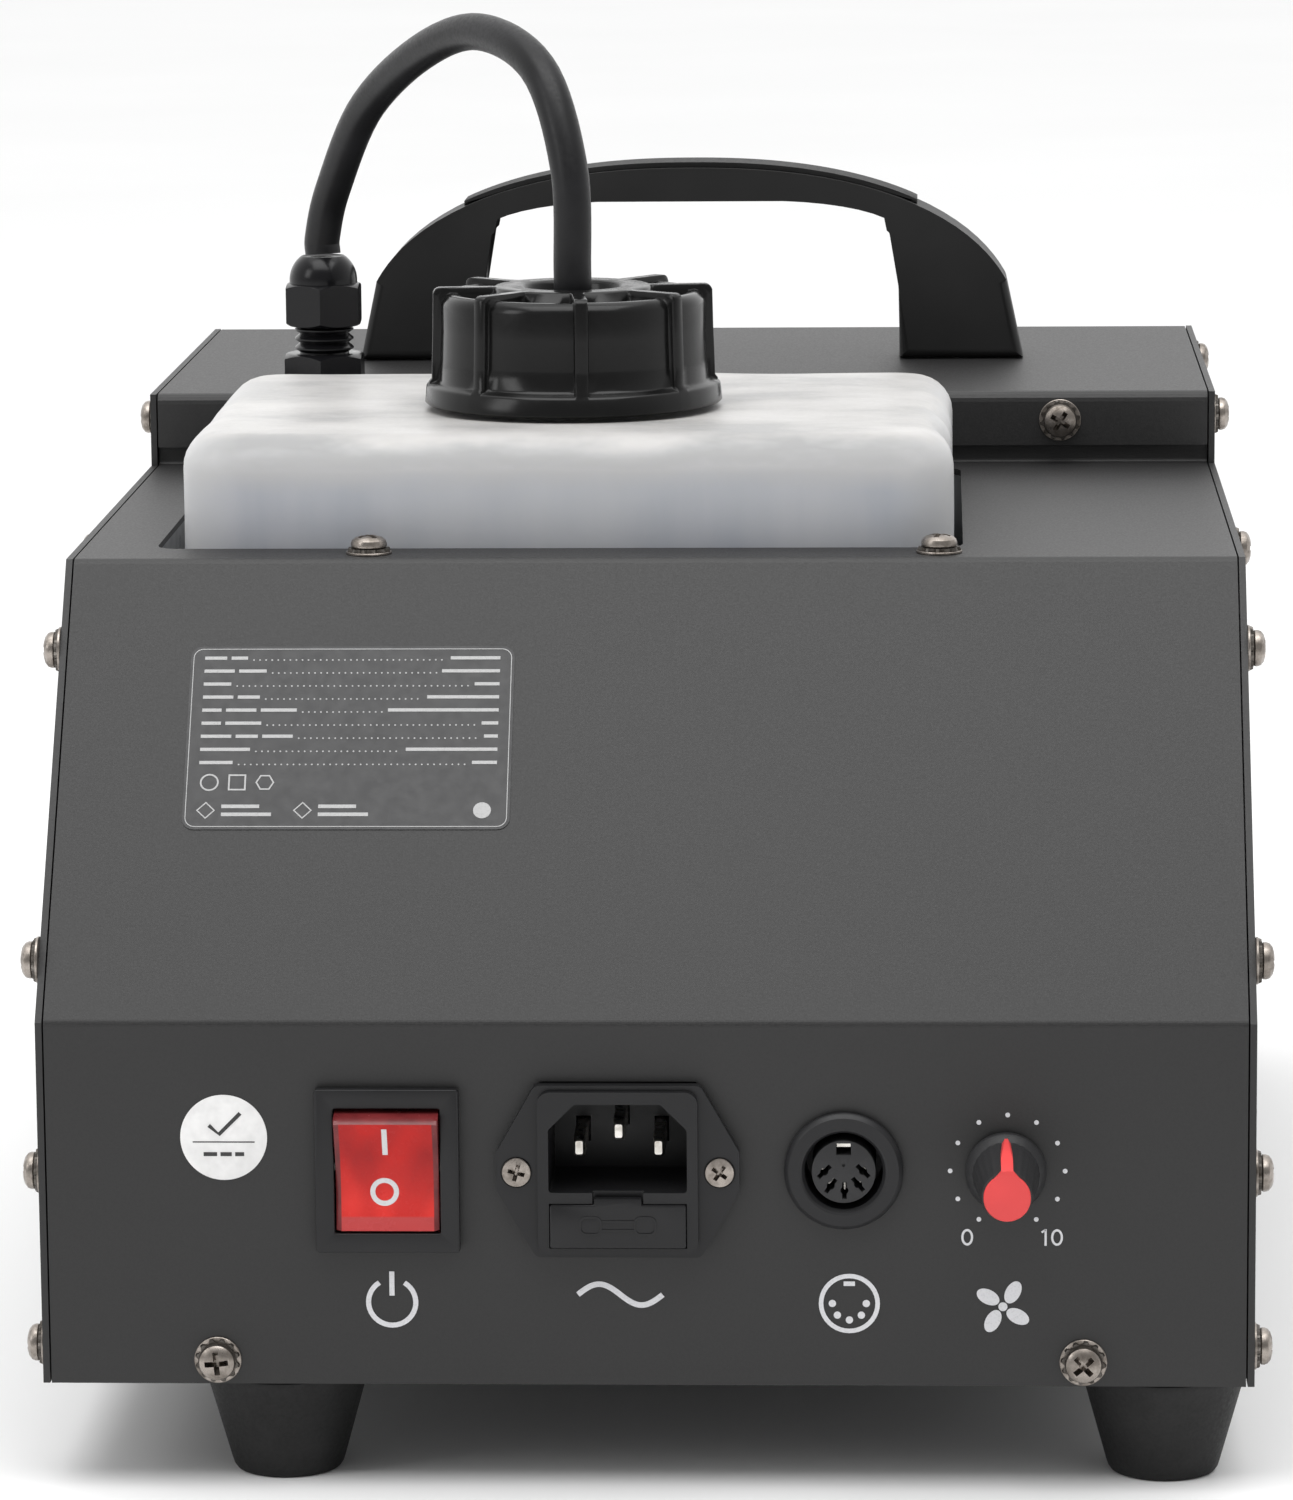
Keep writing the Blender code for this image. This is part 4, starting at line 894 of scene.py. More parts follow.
def cap_levels():
    """The cap's section as (radius between ribs, z between ribs, radius on a rib, z on a rib)."""
    low, top = CAP_LOW, CAP_TOP
    under = NECK_TOP + 0.0026
    wall_r = NECK_R + 0.0005
    foot = 0.0283
    body = 0.0254
    rib = 0.0270
    brim = low + 0.0040
    levels = [
        (wall_r, low, wall_r, low),
        (foot - 0.0004, low, foot - 0.0004, low),
        (foot, low + 0.0004, foot, low + 0.0004),
        (foot - 0.0003, brim - 0.0006, foot - 0.0003, brim - 0.0006),
        (foot - 0.0008, brim - 0.0001, foot - 0.0008, brim - 0.0001),
        (body + 0.0008, brim + 0.0002, rib + 0.0005, brim + 0.0002),
        (body + 0.0002, brim + 0.0008, rib, brim + 0.0008),
        (body, low + 0.0085, rib - 0.0001, low + 0.0085),
        (body - 0.0002, low + 0.0140, rib - 0.0003, low + 0.0140),
    ]
    shoulder = top - 0.0010
    for i in range(1, 8):
        angle = math.pi / 2 * i / 7
        levels.append((
            body - 0.0002 - 0.0022 * (1 - math.cos(angle)), shoulder - 0.0026 * (1 - math.sin(angle)),
            rib - 0.0004 - 0.0014 * (1 - math.cos(angle)), top - 0.0014 * (1 - math.sin(angle)),
        ))
    recess = shoulder - 0.0012
    levels += [
        (0.0218, shoulder - 0.0002, 0.0240, top),
        (0.0209, recess, 0.0225, top),
        (0.0185, recess, 0.0195, top),
        (0.0160, recess, 0.0165, top),
        (0.0153, recess + 0.0003, 0.0155, top),
        (0.0150, top - 0.0003, 0.0150, top),
        (0.0146, top, 0.0146, top),
        (CAP_HOLE + 0.0006, top, CAP_HOLE + 0.0006, top),
        (CAP_HOLE, top - 0.0006, CAP_HOLE, top - 0.0006),
        (CAP_HOLE, under, CAP_HOLE, under),
        (wall_r, under, wall_r, under),
    ]
    return levels


def cap_ring(shape, body_r, body_z, rib_r, rib_z):
    """One level of the cap, with eight ribs that stand out of it and faintly bulged fields between."""
    ring = []
    for rib in range(CAP_RIBS):
        middle = math.radians(CAP_RIB_PHASE) + math.tau * rib / CAP_RIBS
        half = RIB_SECTION[-1][0] / rib_r
        stations = [(middle + offset / rib_r, weight, 0.0) for offset, weight in RIB_SECTION]
        field = math.tau / CAP_RIBS - 2 * half
        for i in range(1, FIELD_STEPS):
            share = i / FIELD_STEPS
            stations.append((middle + half + field * share, 0.0, math.sin(math.pi * share)))
        for angle, weight, bulge in stations:
            radius = body_r + (rib_r - body_r) * weight
            if rib_r != body_r:
                radius += FIELD_BULGE * bulge
            z = body_z + (rib_z - body_z) * weight
            place = (CAP_CENTRE[0] + radius * math.cos(angle), CAP_CENTRE[1] + radius * math.sin(angle), z)
            ring.append(shape.verts.new(place))
    return ring


def make_cap(look):
    shape = bmesh.new()
    skin(shape, [cap_ring(shape, *level) for level in cap_levels()], closed=True)
    cap = raw_object("cap_ribbed", shape)
    finish_piece(cap, look, "cap", ["tank_cap"], 48.0)


def make_liner(look):
    """The liner under the cap, with the stepped boss that grips the hose."""
    floor = NECK_TOP + GAP
    face = NECK_TOP + 0.0023
    profile = (
        (0.0, floor), (0.0206, floor), (0.0210, floor + 0.0004), (0.0210, face - 0.0004), (0.0206, face),
        (0.0090, face), (0.0086, face + 0.0004), (0.0086, BOSS_TOP - 0.0007), (0.0080, BOSS_TOP - 0.0001),
        (0.0058, BOSS_TOP - 0.0001), (0.0054, BOSS_TOP - 0.0006), (0.0046, BOSS_TOP - 0.0006),
        (0.0042, BOSS_TOP), (0.0, BOSS_TOP),
    )
    liner = raw_object("liner_boss", turned(profile, "Z", CAP_CENTRE, 64))
    finish_piece(liner, look, "pickup", ["cap_liner"])


def hexagon(name, corner_r, low, high, chamfer, centre=GLAND):
    """A hexagonal nut shape with turned chamfers at the ends that chamfer names."""
    obj = raw_object(name, rod("Z", centre, corner_r, low, high, 6, phase=-math.pi / 2))
    lows = [(corner_r - 0.0014, low), (corner_r + 0.0001, low + 0.0009)]
    highs = [(corner_r + 0.0001, high - 0.0009), (corner_r - 0.0014, high)]
    profile = [(0.0, low)]
    profile += lows if "low" in chamfer else [(corner_r + 0.001, low)]
    profile += highs if "high" in chamfer else [(corner_r + 0.001, high)]
    profile.append((0.0, high))
    boolean(obj, turned(profile, "Z", centre, 64), "INTERSECT")
    return obj


def make_gland(look):
    """The gland's threaded body with its hex foot, and the nut with a domed top that grips the hose."""
    body = hexagon("gland_foot", 0.0090, TOP_Z + GAP, 0.1610, ("high",))
    profile = [(0.0, 0.1420), (THREAD_R, 0.1420), (THREAD_R, TOP_Z - 0.0015)]
    z = 0.1613
    while z < GLAND_NUT_Z - 0.0012:
        profile += [(THREAD_R - 0.0009, z), (THREAD_R + 0.0001, z + 0.0007)]
        profile += [(THREAD_R + 0.0001, z + 0.0010)]
        z += THREAD_PITCH
    profile += [(THREAD_R - 0.0008, GLAND_NUT_Z - GAP), (0.0, GLAND_NUT_Z - GAP)]
    boolean(body, turned(profile, "Z", GLAND, 48), "UNION")
    finish_piece(body, look, "case", ["gland_body"])

    nut = hexagon("gland_dome_nut", 0.0085, GLAND_NUT_Z, 0.1754, ("low", "high"))
    dome = [(0.0, 0.1750), (0.0069, 0.1750), (0.0069, 0.1760)]
    for i in range(1, 9):
        angle = math.radians(48.0) * i / 8
        dome.append((0.0069 * math.cos(angle) ** 0.9, 0.1760 + 0.0062 * math.sin(angle)))
    dome += [(0.0044, GLAND_TOP - 0.0001), (0.0040, GLAND_TOP - 0.0004), (0.0, GLAND_TOP - 0.0004)]
    boolean(nut, turned(dome, "Z", GLAND, 64), "UNION")
    finish_piece(nut, look, "case", ["gland_nut"], 40.0)


def arch_point(x, lift=0.0):
    """Height of the handle's outer arch at x."""
    across, up = HANDLE_ARCH
    share = min(abs(x) / across, 1.0)
    return HANDLE_ARCH_Z + lift + up * (1 - share ** HANDLE_POWER) ** (1 / HANDLE_POWER)


def handle_outline():
    across, up = HANDLE_ARCH
    leg_x = across * (1 - ((HANDLE_LEG_TOP - HANDLE_ARCH_Z) / up) ** HANDLE_POWER) ** (1 / HANDLE_POWER)
    base = TOP_Z + GAP
    steps = 22
    outer_x = [leg_x * math.sin(math.pi / 2 * i / steps) for i in range(steps, -steps - 1, -1)]
    outer = [(x, arch_point(x)) for x in outer_x]
    flat = 0.015
    inner = []
    for i in range(-10, 11):
        turn = math.pi / 2 * abs(i) / 10
        x = math.copysign(flat + (HANDLE_INNER - flat) * math.sin(turn), i)
        inner.append((x, HANDLE_INNER_Z + HANDLE_INNER_RISE * math.cos(turn)))
    right = [(HANDLE_INNER, base), (HANDLE_HALF, base)]
    left = [(-HANDLE_HALF, base), (-HANDLE_INNER, base)]
    return right + outer + left + inner


def soften_rims(shape, axis, width, segments):
    """Round the edges of a prism's two end faces."""
    rims = [e for e in shape.edges if abs(e.verts[0].co[axis] - e.verts[1].co[axis]) < 1e-7]
    bmesh.ops.bevel(
        shape, geom=rims, offset=width, segments=segments, profile=0.5, affect="EDGES", clamp_overlap=True,
    )
    return shape


def make_handle(plastic, grip):
    strap = soften_rims(prism(handle_outline(), "Y", *HANDLE_Y), 1, HANDLE_ROUND, 5)
    obj = raw_object("handle_strap", strap)
    finish_piece(obj, plastic, "case", ["carry_handle"], 40.0)
    steps = [GRIP_HALF * i / 30 for i in range(-30, 31)]
    under = [(x, arch_point(x, 0.0001)) for x in steps]
    over = [(x, arch_point(x, GAP + GRIP_T)) for x in reversed(steps)]
    pad = soften_rims(prism(under + over, "Y", HANDLE_Y[0] + 0.0020, HANDLE_Y[1] - 0.0020), 1, 0.0005, 3)
    obj = raw_object("handle_pad", pad)
    finish_piece(obj, grip, "case", ["handle_grip"], 40.0)


def make_feet(look, steel):
    """Conical rubber feet, each with a moulded rim and a recessed washer and screw."""
    floor = -CASE_Z
    profile = (
        (0.0, -0.0135), (0.0036, -0.0135), (0.0040, -0.0139), (0.0040, floor + 0.0004), (0.0044, floor),
        (0.0088, floor), (0.0094, floor + 0.0002), (0.0099, floor + 0.0009), (0.0102, floor + 0.0018),
        (0.0146, -0.0019), (0.0149, -0.0014), (0.0149, -0.0007), (0.0146, -GAP), (0.0, -GAP),
    )
    for name, place in FEET.items():
        shape = turned(profile, "Z", place, 72)
        obj = raw_object(name + "_moulding", shape)
        finish_piece(obj, look, "case", [name])
        head = ((0.0, -0.0150), (0.0018, -0.0150), (0.0028, -0.0144), (0.0030, -0.0138), (0.0, -0.0138))
        screw = raw_object(name + "_screw", turned(head, "Z", place, 32))
        finish_piece(screw, steel, "case")


def cross_recess(reach, half, depth):
    """The tapering cross of a Phillips recess, open above z 0."""
    shape = bmesh.new()
    rings = []
    for z, grow in ((-depth, 0.5), (0.0, 1.0), (0.001, 1.1)):
        ring = []
        for quarter in range(4):
            turn = Matrix.Rotation(math.pi / 2 * quarter, 2)
            for corner in ((reach, -half), (reach, half), (half, half)):
                ring.append(shape.verts.new((*(turn @ (Vector(corner) * grow)), z)))
        rings.append(ring)
    solid(shape, rings)
    return shape


def toothed_washer(low, high, teeth=12):
    """A spring washer with slanted teeth round its rim."""
    shape = bmesh.new()
    steps = teeth * 4
    rings = []
    inner, outer, swing_out = 0.0021, 0.0034, 0.0004
    corners = ((inner, 0.0, low), (outer, swing_out, low), (outer, swing_out, high), (inner, 0.0, high))
    for radius, swing, z in corners:
        ring = []
        for i in range(steps):
            angle = math.tau * i / steps
            tooth = (0.0, 1.0, 1.0, 0.0)[i % 4]
            reach = radius + swing * tooth * (1.6 if z == low else 1.0)
            ring.append(shape.verts.new((reach * math.cos(angle), reach * math.sin(angle), z)))
        rings.append(ring)
    skin(shape, rings, closed=True)
    return shape


def take_mesh(obj):
    """The object's mesh as a template about its own origin; the object is removed."""
    mesh = obj.data
    mesh.transform(Matrix.Translation(-CASE))
    bpy.data.objects.remove(obj)
    return mesh


def take_shape(obj):
    """The object's mesh as a shape; the object is removed."""
    mesh = take_mesh(obj)
    shape = bmesh.new()
    shape.from_mesh(mesh)
    bpy.data.meshes.remove(mesh)
    return shape


def as_mesh(shape):
    mesh = bpy.data.meshes.new("template")
    bmesh.ops.recalc_face_normals(shape, faces=shape.faces)
    shape.to_mesh(mesh)
    shape.free()
    return mesh


def copies(mesh, places):
    """One shape holding a copy of mesh at each placing matrix."""
    total = bmesh.new()
    for place in places:
        before = len(total.verts)
        total.from_mesh(mesh)
        total.verts.ensure_lookup_table()
        bmesh.ops.transform(total, matrix=place, verts=total.verts[before:])
    return total


def pan_screw(shank):
    """A pan-head screw on a toothed and a plain washer, standing on z 0 and pointing up."""
    low = -0.0070 if shank else 0.0002
    profile = (
        (0.0, low), (0.0018, low), (0.0018, 0.00118), (0.0031, 0.00118), (0.0033, 0.0014),
        (0.00332, 0.0019), (0.0031, 0.0025), (0.0025, 0.0030), (0.0015, 0.0033), (0.0, 0.0034),
    )
    head = raw_object("head", turned(profile, "Z", (0.0, 0.0), 40))
    boolean(head, moved(cross_recess(0.0021, 0.00048, 0.0019), Matrix.Translation((0.0, 0.0, 0.0031))))
    whole = take_shape(head)
    teeth = toothed_washer(0.00055, 0.0011)
    for face in teeth.faces:
        face.material_index = 1
    plain = (
        (0.0019, 0.00002), (0.0041, 0.00002), (0.0042, 0.00012),
        (0.0042, 0.0004), (0.0041, 0.0005), (0.0019, 0.0005),
    )
    washer = turned(plain, "Z", (0.0, 0.0), 40, closed=True)
    return as_mesh(joined(whole, washer, teeth))


def flat_screw():
    """A countersunk screw with a nearly flat head, standing on z 0."""
    profile = (
        (0.0, -0.0060), (0.0014, -0.0060), (0.0014, -0.0010), (0.0024, -0.0001), (0.0026, 0.0001),
        (0.0025, 0.0003), (0.0015, 0.00045), (0.0, 0.0005),
    )
    head = raw_object("head", turned(profile, "Z", (0.0, 0.0), 36))
    boolean(head, moved(cross_recess(0.0015, 0.00036, 0.0014), Matrix.Translation((0.0, 0.0, 0.0004))))
    return take_mesh(head)


def facing(direction, place, spin):
    """The placing of a template that points up: at place, pointing along direction, spun about itself."""
    turn = Vector(direction).to_track_quat("Z", "Y").to_matrix().to_4x4()
    return Matrix.Translation(place) @ turn @ Matrix.Rotation(math.radians(spin), 4, "Z")


def make_screws(steel, dark_steel):
    rows = (
        ("deck_screw", [((x, y, DECK_Z), (0, 0, 1)) for x, y in DECK_SCREWS]),
        ("step_screw", [((x, STEP_Y, z), (0, -1, 0)) for x, z in STEP_SCREWS]),
        ("back_screw", [((x, 0.0, z), (0, -1, 0)) for x, z in BACK_SCREWS]),
    )
    screw = pan_screw(True)
    count = 0
    for row, places in rows:
        for side, (place, direction) in zip(("left", "right"), places):
            count += 1
            shape = copies(screw, [facing(direction, place, SCREW_TURNS * count)])
            obj = raw_object(f"{row}_{side}_phillips", shape)
            finish_piece(obj, [steel, dark_steel], "case", [f"{row}_{side}"], 30.0)
    loose = pan_screw(False)
    for side, sign in (("left", -1), ("right", 1)):
        places = []
        for y, z in SIDE_SCREWS:
            count += 1
            places.append(facing((sign, 0, 0), (sign * SIDE_X, y, z), SCREW_TURNS * count))
        obj = raw_object(f"side_screws_{side}", copies(loose, places))
        finish_piece(obj, [steel, dark_steel], "case", (), 30.0)
    small = flat_screw()
    for side, sign in (("left", -1), ("right", 1)):
        place = (INLET[0] + sign * INLET_SCREW_X, -0.0028, INLET_SCREW_Z)
        shape = copies(small, [facing((0, -1, 0), place, 20.0 + 35.0 * sign)])
        obj = raw_object(f"inlet_screw_{side}_phillips", shape)
        finish_piece(obj, steel, "case", [f"inlet_screw_{side}"], 30.0)


def panel_box(centre, size, low, high, corner=0.0):
    """A block on the panel with round corners, between two depths y."""
    return prism(rectangle(*centred(centre, size), corner), "Y", low, high)


def rocker_face(x, z, lift):
    """The point lift above the rocker's red face, at x and z from its middle along the tipped face."""
    share = z / ROCKER_HALF
    local = Vector((-0.0030 - 0.0018 * share * share - lift, z))
    tipped = Matrix.Rotation(math.radians(ROCKER_TILT), 2) @ local
    return Vector((SWITCH[0] + x, tipped.x + ROCKER_PIVOT_Y, tipped.y + SWITCH[1]))


def plate_on_face(grid, lift):
    """A thin closed plate over a grid of (x, z) rows on the rocker's face."""
    shape = bmesh.new()
    tops = [[shape.verts.new(rocker_face(x, z, lift)) for x, z in row] for row in grid]
    unders = [[shape.verts.new(rocker_face(x, z, -0.0002)) for x, z in row] for row in grid]
    for a, b, under_a, under_b in zip(tops, tops[1:], unders, unders[1:]):
        for i in range(len(a) - 1):
            shape.faces.new((a[i], a[i + 1], b[i + 1], b[i]))
            shape.faces.new((under_a[i], under_b[i], under_b[i + 1], under_a[i + 1]))
        shape.faces.new((a[0], b[0], under_b[0], under_a[0]))
        shape.faces.new((a[-1], under_a[-1], under_b[-1], b[-1]))
    for row, under in ((tops[0], unders[0]), (tops[-1], unders[-1])):
        for i in range(len(row) - 1):
            shape.faces.new((row[i], under[i], under[i + 1], row[i + 1]))
    return shape


def ring_on_face(centre, inner, outer, lift, steps=40):
    """A thin closed ring on the rocker's face."""
    shape = bmesh.new()
    rings = []
    for radius, height in ((outer, -0.0002), (outer, lift), (inner, lift), (inner, -0.0002)):
        ring = []
        for i in range(steps):
            angle = math.tau * i / steps
            x = centre[0] + radius * math.cos(angle)
            ring.append(shape.verts.new(rocker_face(x, centre[1] + radius * math.sin(angle), height)))
        rings.append(ring)
    skin(shape, rings, closed=True)
    return shape


def make_switch(plastic, red, rim, white):
    bezel = raw_object("bezel", panel_box(SWITCH, BEZEL, -0.0024, -GAP, 0.0006))
    boolean(bezel, panel_box(SWITCH, (0.0224, 0.0266), -0.0010, 0.0200), "UNION")
    boolean(bezel, panel_box(SWITCH, (0.0188, 0.0226), -0.0050, 0.0120, 0.0004))
    boolean(bezel, rod("X", (ROCKER_PIVOT_Y, SWITCH[1]), PIVOT_R, SWITCH[0] - 0.0106, SWITCH[0] + 0.0106, 24))
    bevelled(bezel, 0.00035)
    bezel.name = "switch_bezel_frame"
    finish_piece(bezel, plastic, "case", ["switch_bezel"])

    front = [rocker_face(0.0, ROCKER_HALF * (1 - step / 8), 0.0) for step in range(17)]
    tip = Matrix.Rotation(math.radians(ROCKER_TILT), 2)
    side = [(-0.0040, 0.0106), (-0.0025, 0.0108), (0.0, 0.0109), (0.0022, 0.0107)]
    back = [(y, -z) for y, z in side] + side[::-1]
    back = [tip @ Vector(p) + Vector((ROCKER_PIVOT_Y, SWITCH[1])) for p in back]
    outline = [(p.y, p.z) for p in front] + [tuple(p) for p in back]
    half = ROCKER_W / 2
    shape = bmesh.new()
    rings = []
    for sign in (-1, 1):
        ends = [(half, ROCKER_SINK), (half - 0.0001, 0.0003), (half - ROCKER_RIM, 0.0)]
        for reach, sink in ends if sign < 0 else reversed(ends):
            ring = []
            for at, (y, z) in enumerate(outline):
                deep = sink if at < len(front) else 0.0
                pull = 1 - 0.05 * deep / ROCKER_SINK
                drawn = SWITCH[1] + (z - SWITCH[1]) * pull
                ring.append(shape.verts.new((SWITCH[0] + sign * reach, y + deep, drawn)))
            rings.append(ring)
    solid(shape, rings)
    rocker = raw_object("rocker_body", shape)
    for face in rocker.data.polygons:
        middle = face.center - CASE
        flank = abs(middle.x - SWITCH[0]) > half - ROCKER_RIM
        top = middle.z > front[0].z + 0.0001 or (middle.y > 0.0 and middle.z > SWITCH[1])
        if flank or top:
            face.material_index = 1
    finish_piece(rocker, [red, rim], "rocker", ["rocker"], 30.0)

    wide, tall = 0.00047, 0.0027
    middle = 0.0065
    rows = [middle - tall + 2 * tall * i / 6 for i in range(7)]
    bar = plate_on_face([[(-0.0002 - wide, z), (-0.0002 + wide, z)] for z in rows], MARK_LIFT)
    circle = ring_on_face((-0.0005, -0.0033), 0.00165, 0.00255, MARK_LIFT)
    marks = raw_object("rocker_marks", joined(bar, circle))
    finish_piece(marks, white, "rocker")


def make_inlet(plastic, metal):
    """The mains inlet's hexagonal flange, raised frame, chamfered well, drawer bay and three pins."""
    (tip_x, tip_z), (edge_x, edge_z) = INLET_FLANGE
    half = [(edge_x, -edge_z), (tip_x, -tip_z), (tip_x, tip_z), (edge_x, edge_z)]
    outline = [(INLET[0] + x, INLET[1] + z) for x, z in half + [(-x, -z) for x, z in half]]
    housing = raw_object("housing", prism(rounded(outline, 0.0016, 5), "Y", -0.0026, -GAP))
    body = [2 * side for side in INLET_BODY]
    frame_size = [2 * side for side in INLET_FRAME]
    boolean(housing, panel_box(INLET, body, -0.0010, 0.0300), "UNION")
    boolean(housing, panel_box(INLET, frame_size, -0.0040, -0.0012, 0.0022), "UNION")
    low, high = WELL_Z
    well = [
        (-WELL_HALF, low),
        (WELL_HALF, low),
        (WELL_HALF, high - WELL_CHAMFER),
        (WELL_HALF - WELL_CHAMFER, high),
        (WELL_CHAMFER - WELL_HALF, high),
        (-WELL_HALF, high - WELL_CHAMFER),
    ]
    well = rounded([(INLET[0] + x, z) for x, z in well], 0.0006, 3)
    boolean(housing, prism(well, "Y", -0.0060, 0.0160))
    drawer_low = (INLET[0] - DRAWER_HALF - DRAWER_GAP, DRAWER_Z[0] - DRAWER_GAP)
    drawer_high = (INLET[0] + DRAWER_HALF + DRAWER_GAP, DRAWER_Z[1] + DRAWER_GAP)
    boolean(housing, prism(rectangle(drawer_low, drawer_high), "Y", -0.0060, 0.0240))
    notch = rectangle((INLET[0] - 0.0045, DRAWER_Z[1] - 0.0005), (INLET[0] + 0.0045, WELL_Z[0] + 0.0005))
    boolean(housing, prism(notch, "Y", -0.0060, -0.0022))
    for side in (-1, 1):
        screw = (INLET[0] + side * INLET_SCREW_X, INLET_SCREW_Z)
        boolean(housing, rod("Y", screw, 0.0017, -0.0040, 0.0010, 24))
        boolean(housing, rod("Y", screw, 0.0028, -0.0040, -0.0023, 36))
    pins = {
        "pin_live": (INLET[0] - 0.0070, 0.0429),
        "pin_neutral": (INLET[0] + 0.0070, 0.0429),
        "pin_earth": (INLET[0], 0.0459),
    }
    for place in pins.values():
        boolean(housing, panel_box(place, [side + 2 * GAP for side in PIN_SECTION], 0.0150, 0.0320))
    bevelled(housing, 0.0003, 2, 40.0)
    housing.name = "inlet_flange"
    finish_piece(housing, plastic, "case", ["inlet_housing"])
    for name, place in pins.items():
        shape = bmesh.new()
        rings = []
        for shrink, y in PIN_TIP:
            size = (PIN_SECTION[0] - shrink * 0.7, PIN_SECTION[1] - shrink * 1.6)
            outline = rectangle(*centred(place, size), 0.0003, 3)
            rings.append([shape.verts.new((x, y, z)) for x, z in outline])
        solid(shape, rings)
        pin = raw_object(name + "_blade", shape)
        finish_piece(pin, metal, "case", [name])


def band(outer, inner, low, high):
    """A flat closed band between two outlines of the same count on the panel."""
    shape = bmesh.new()
    rings = []
    for outline, y in ((outer, high), (outer, low), (inner, low), (inner, high)):
        rings.append([shape.verts.new((x, y, z)) for x, z in outline])
    skin(shape, rings, closed=True)
    return shape


def make_drawer(plastic):
    """The fuse drawer, with its pocket and a raised outline of a fuse on its front."""
    low = (INLET[0] - DRAWER_HALF, DRAWER_Z[0])
    high = (INLET[0] + DRAWER_HALF, DRAWER_Z[1])
    front = DRAWER_FRONT
    drawer = raw_object("drawer", prism(rectangle(low, high, 0.0004, 3), "Y", front, 0.0195))
    tab = rectangle((INLET[0] - 0.0042, DRAWER_Z[1] - 0.0006), (INLET[0] + 0.0042, DRAWER_Z[1] + 0.0012))
    boolean(drawer, prism(tab, "Y", front, front + 0.0016), "UNION")
    floor = DRAWER_Z[0] + 0.0018
    pocket = rectangle((INLET[0] - 0.0108, floor), (INLET[0] + 0.0108, DRAWER_Z[1] + 0.0010))
    boolean(drawer, prism(pocket, "Y", 0.0044, 0.0100))
    bevelled(drawer, 0.0003, 2, 40.0)
    middle = (INLET[0], sum(DRAWER_Z) / 2 + 0.0002)
    line = 0.00035
    emblem = []
    for side in (-1, 1):
        centre = (middle[0] + side * 0.0048, middle[1])
        outer = rectangle(*centred(centre, (0.0040, 0.0034)), 0.0012)
        inner = rectangle(*centred(centre, (0.0040 - 2 * line, 0.0034 - 2 * line)), 0.0012 - line)
        emblem.append(band(outer, inner, front - 0.00018, front + 0.0002))
    for side in (-1, 1):
        bar = rectangle(*centred((middle[0], middle[1] + side * 0.0008), (0.0056, line)))
        emblem.append(prism(bar, "Y", front - 0.00018, front + 0.0002))
    drawer = raw_object("fuse_drawer_front", joined(take_shape(drawer), *emblem))
    finish_piece(drawer, plastic, "fuse_drawer", ["fuse_drawer"])


def make_fuse(glass, metal):
    """The glass fuse and its two metal end caps."""
    centre = (0.0072, DRAWER_Z[0] + 0.0018 + 0.0025 + GAP)
    left = INLET[0] - 0.0100
    right = INLET[0] + 0.0100
    body = raw_object("fuse_tube", rod("X", centre, 0.0023, left + 0.004, right - 0.004, 32))
    finish_piece(body, glass, "fuse_drawer", ["fuse"])
    ends = []
    for start, end in ((left, left + 0.0045), (right - 0.0045, right)):
        ring = (
            (0.0, start), (0.0023, start), (0.0025, start + 0.0002),
            (0.0025, end - 0.0002), (0.0024, end), (0.0, end),
        )
        ends.append(turned(ring, "X", centre, 32))
    caps = raw_object("fuse_ends", joined(*ends))
    finish_piece(caps, metal, "fuse_drawer")


def din_places():
    """Where each of the round socket's slots stands and how it is turned."""
    found = []
    for at, pointing in DIN_SLOTS:
        x = DIN[0] + DIN_PIN_R * math.cos(math.radians(at))
        z = DIN[1] + DIN_PIN_R * math.sin(math.radians(at))
        found.append(Matrix.Translation((x, 0.0, z)) @ Matrix.Rotation(math.radians(-pointing), 4, "Y"))
    return found


def make_din(shell_look, insert_look, metal):
    """The round socket: its flange, a dark ring round a flush insert, a key, five slots and contacts."""
    profile = (
        (0.0, 0.0125), (0.0077, 0.0125), (0.0077, -GAP), (0.0102, -GAP), (0.0105, -0.0006), (0.0105, -0.0014),
        (0.0103, -0.0018), (0.0097, -0.0023), (0.0078, -0.0023), (0.0074, -0.0021), (0.0069, -0.0012),
        (0.0069, 0.0110), (0.0, 0.0110),
    )
    shell = raw_object("din_flange", turned(profile, "Y", DIN, 72))
    finish_piece(shell, shell_look, "case", ["din_shell"], 25.0)
    insert = raw_object("din_core", rod("Y", DIN, 0.0056, DIN_FACE, 0.0107, 64))
    key = rectangle((DIN[0] - 0.0013, DIN[1] + 0.0030), (DIN[0] + 0.0013, DIN[1] + 0.0051))
    boolean(insert, prism(key, "Y", -0.0030, 0.0040))
    for place in din_places():
        slot = prism(rectangle((-0.0015, -0.00040), (0.0015, 0.00040)), "Y", -0.0030, 0.0060)
        boolean(insert, moved(slot, place))
        boolean(insert, moved(rod("Y", (0.0, 0.0), 0.00072, -0.0030, 0.0062, 20), place))
    boolean(insert, rod("Y", (DIN[0], DIN[1] + 0.0012), 0.0003, -0.0030, DIN_FACE + 0.0004, 16))
    bevelled(insert, 0.00012, 2, 40.0)
    finish_piece(insert, insert_look, "case", ["din_insert"])
    spring = rectangle((DIN[0] - 0.0012, DIN[1] + 0.0043), (DIN[0] + 0.0012, DIN[1] + 0.0049))
    clips = [prism(spring, "Y", -0.0008, 0.0039)]
    for place in din_places():
        blade = prism(rectangle((-0.0007, -0.00015), (0.0007, 0.00015)), "Y", 0.0020, 0.0058)
        clips.append(moved(blade, place))
    contacts = raw_object("din_contacts", joined(*clips))
    finish_piece(contacts, metal, "case")


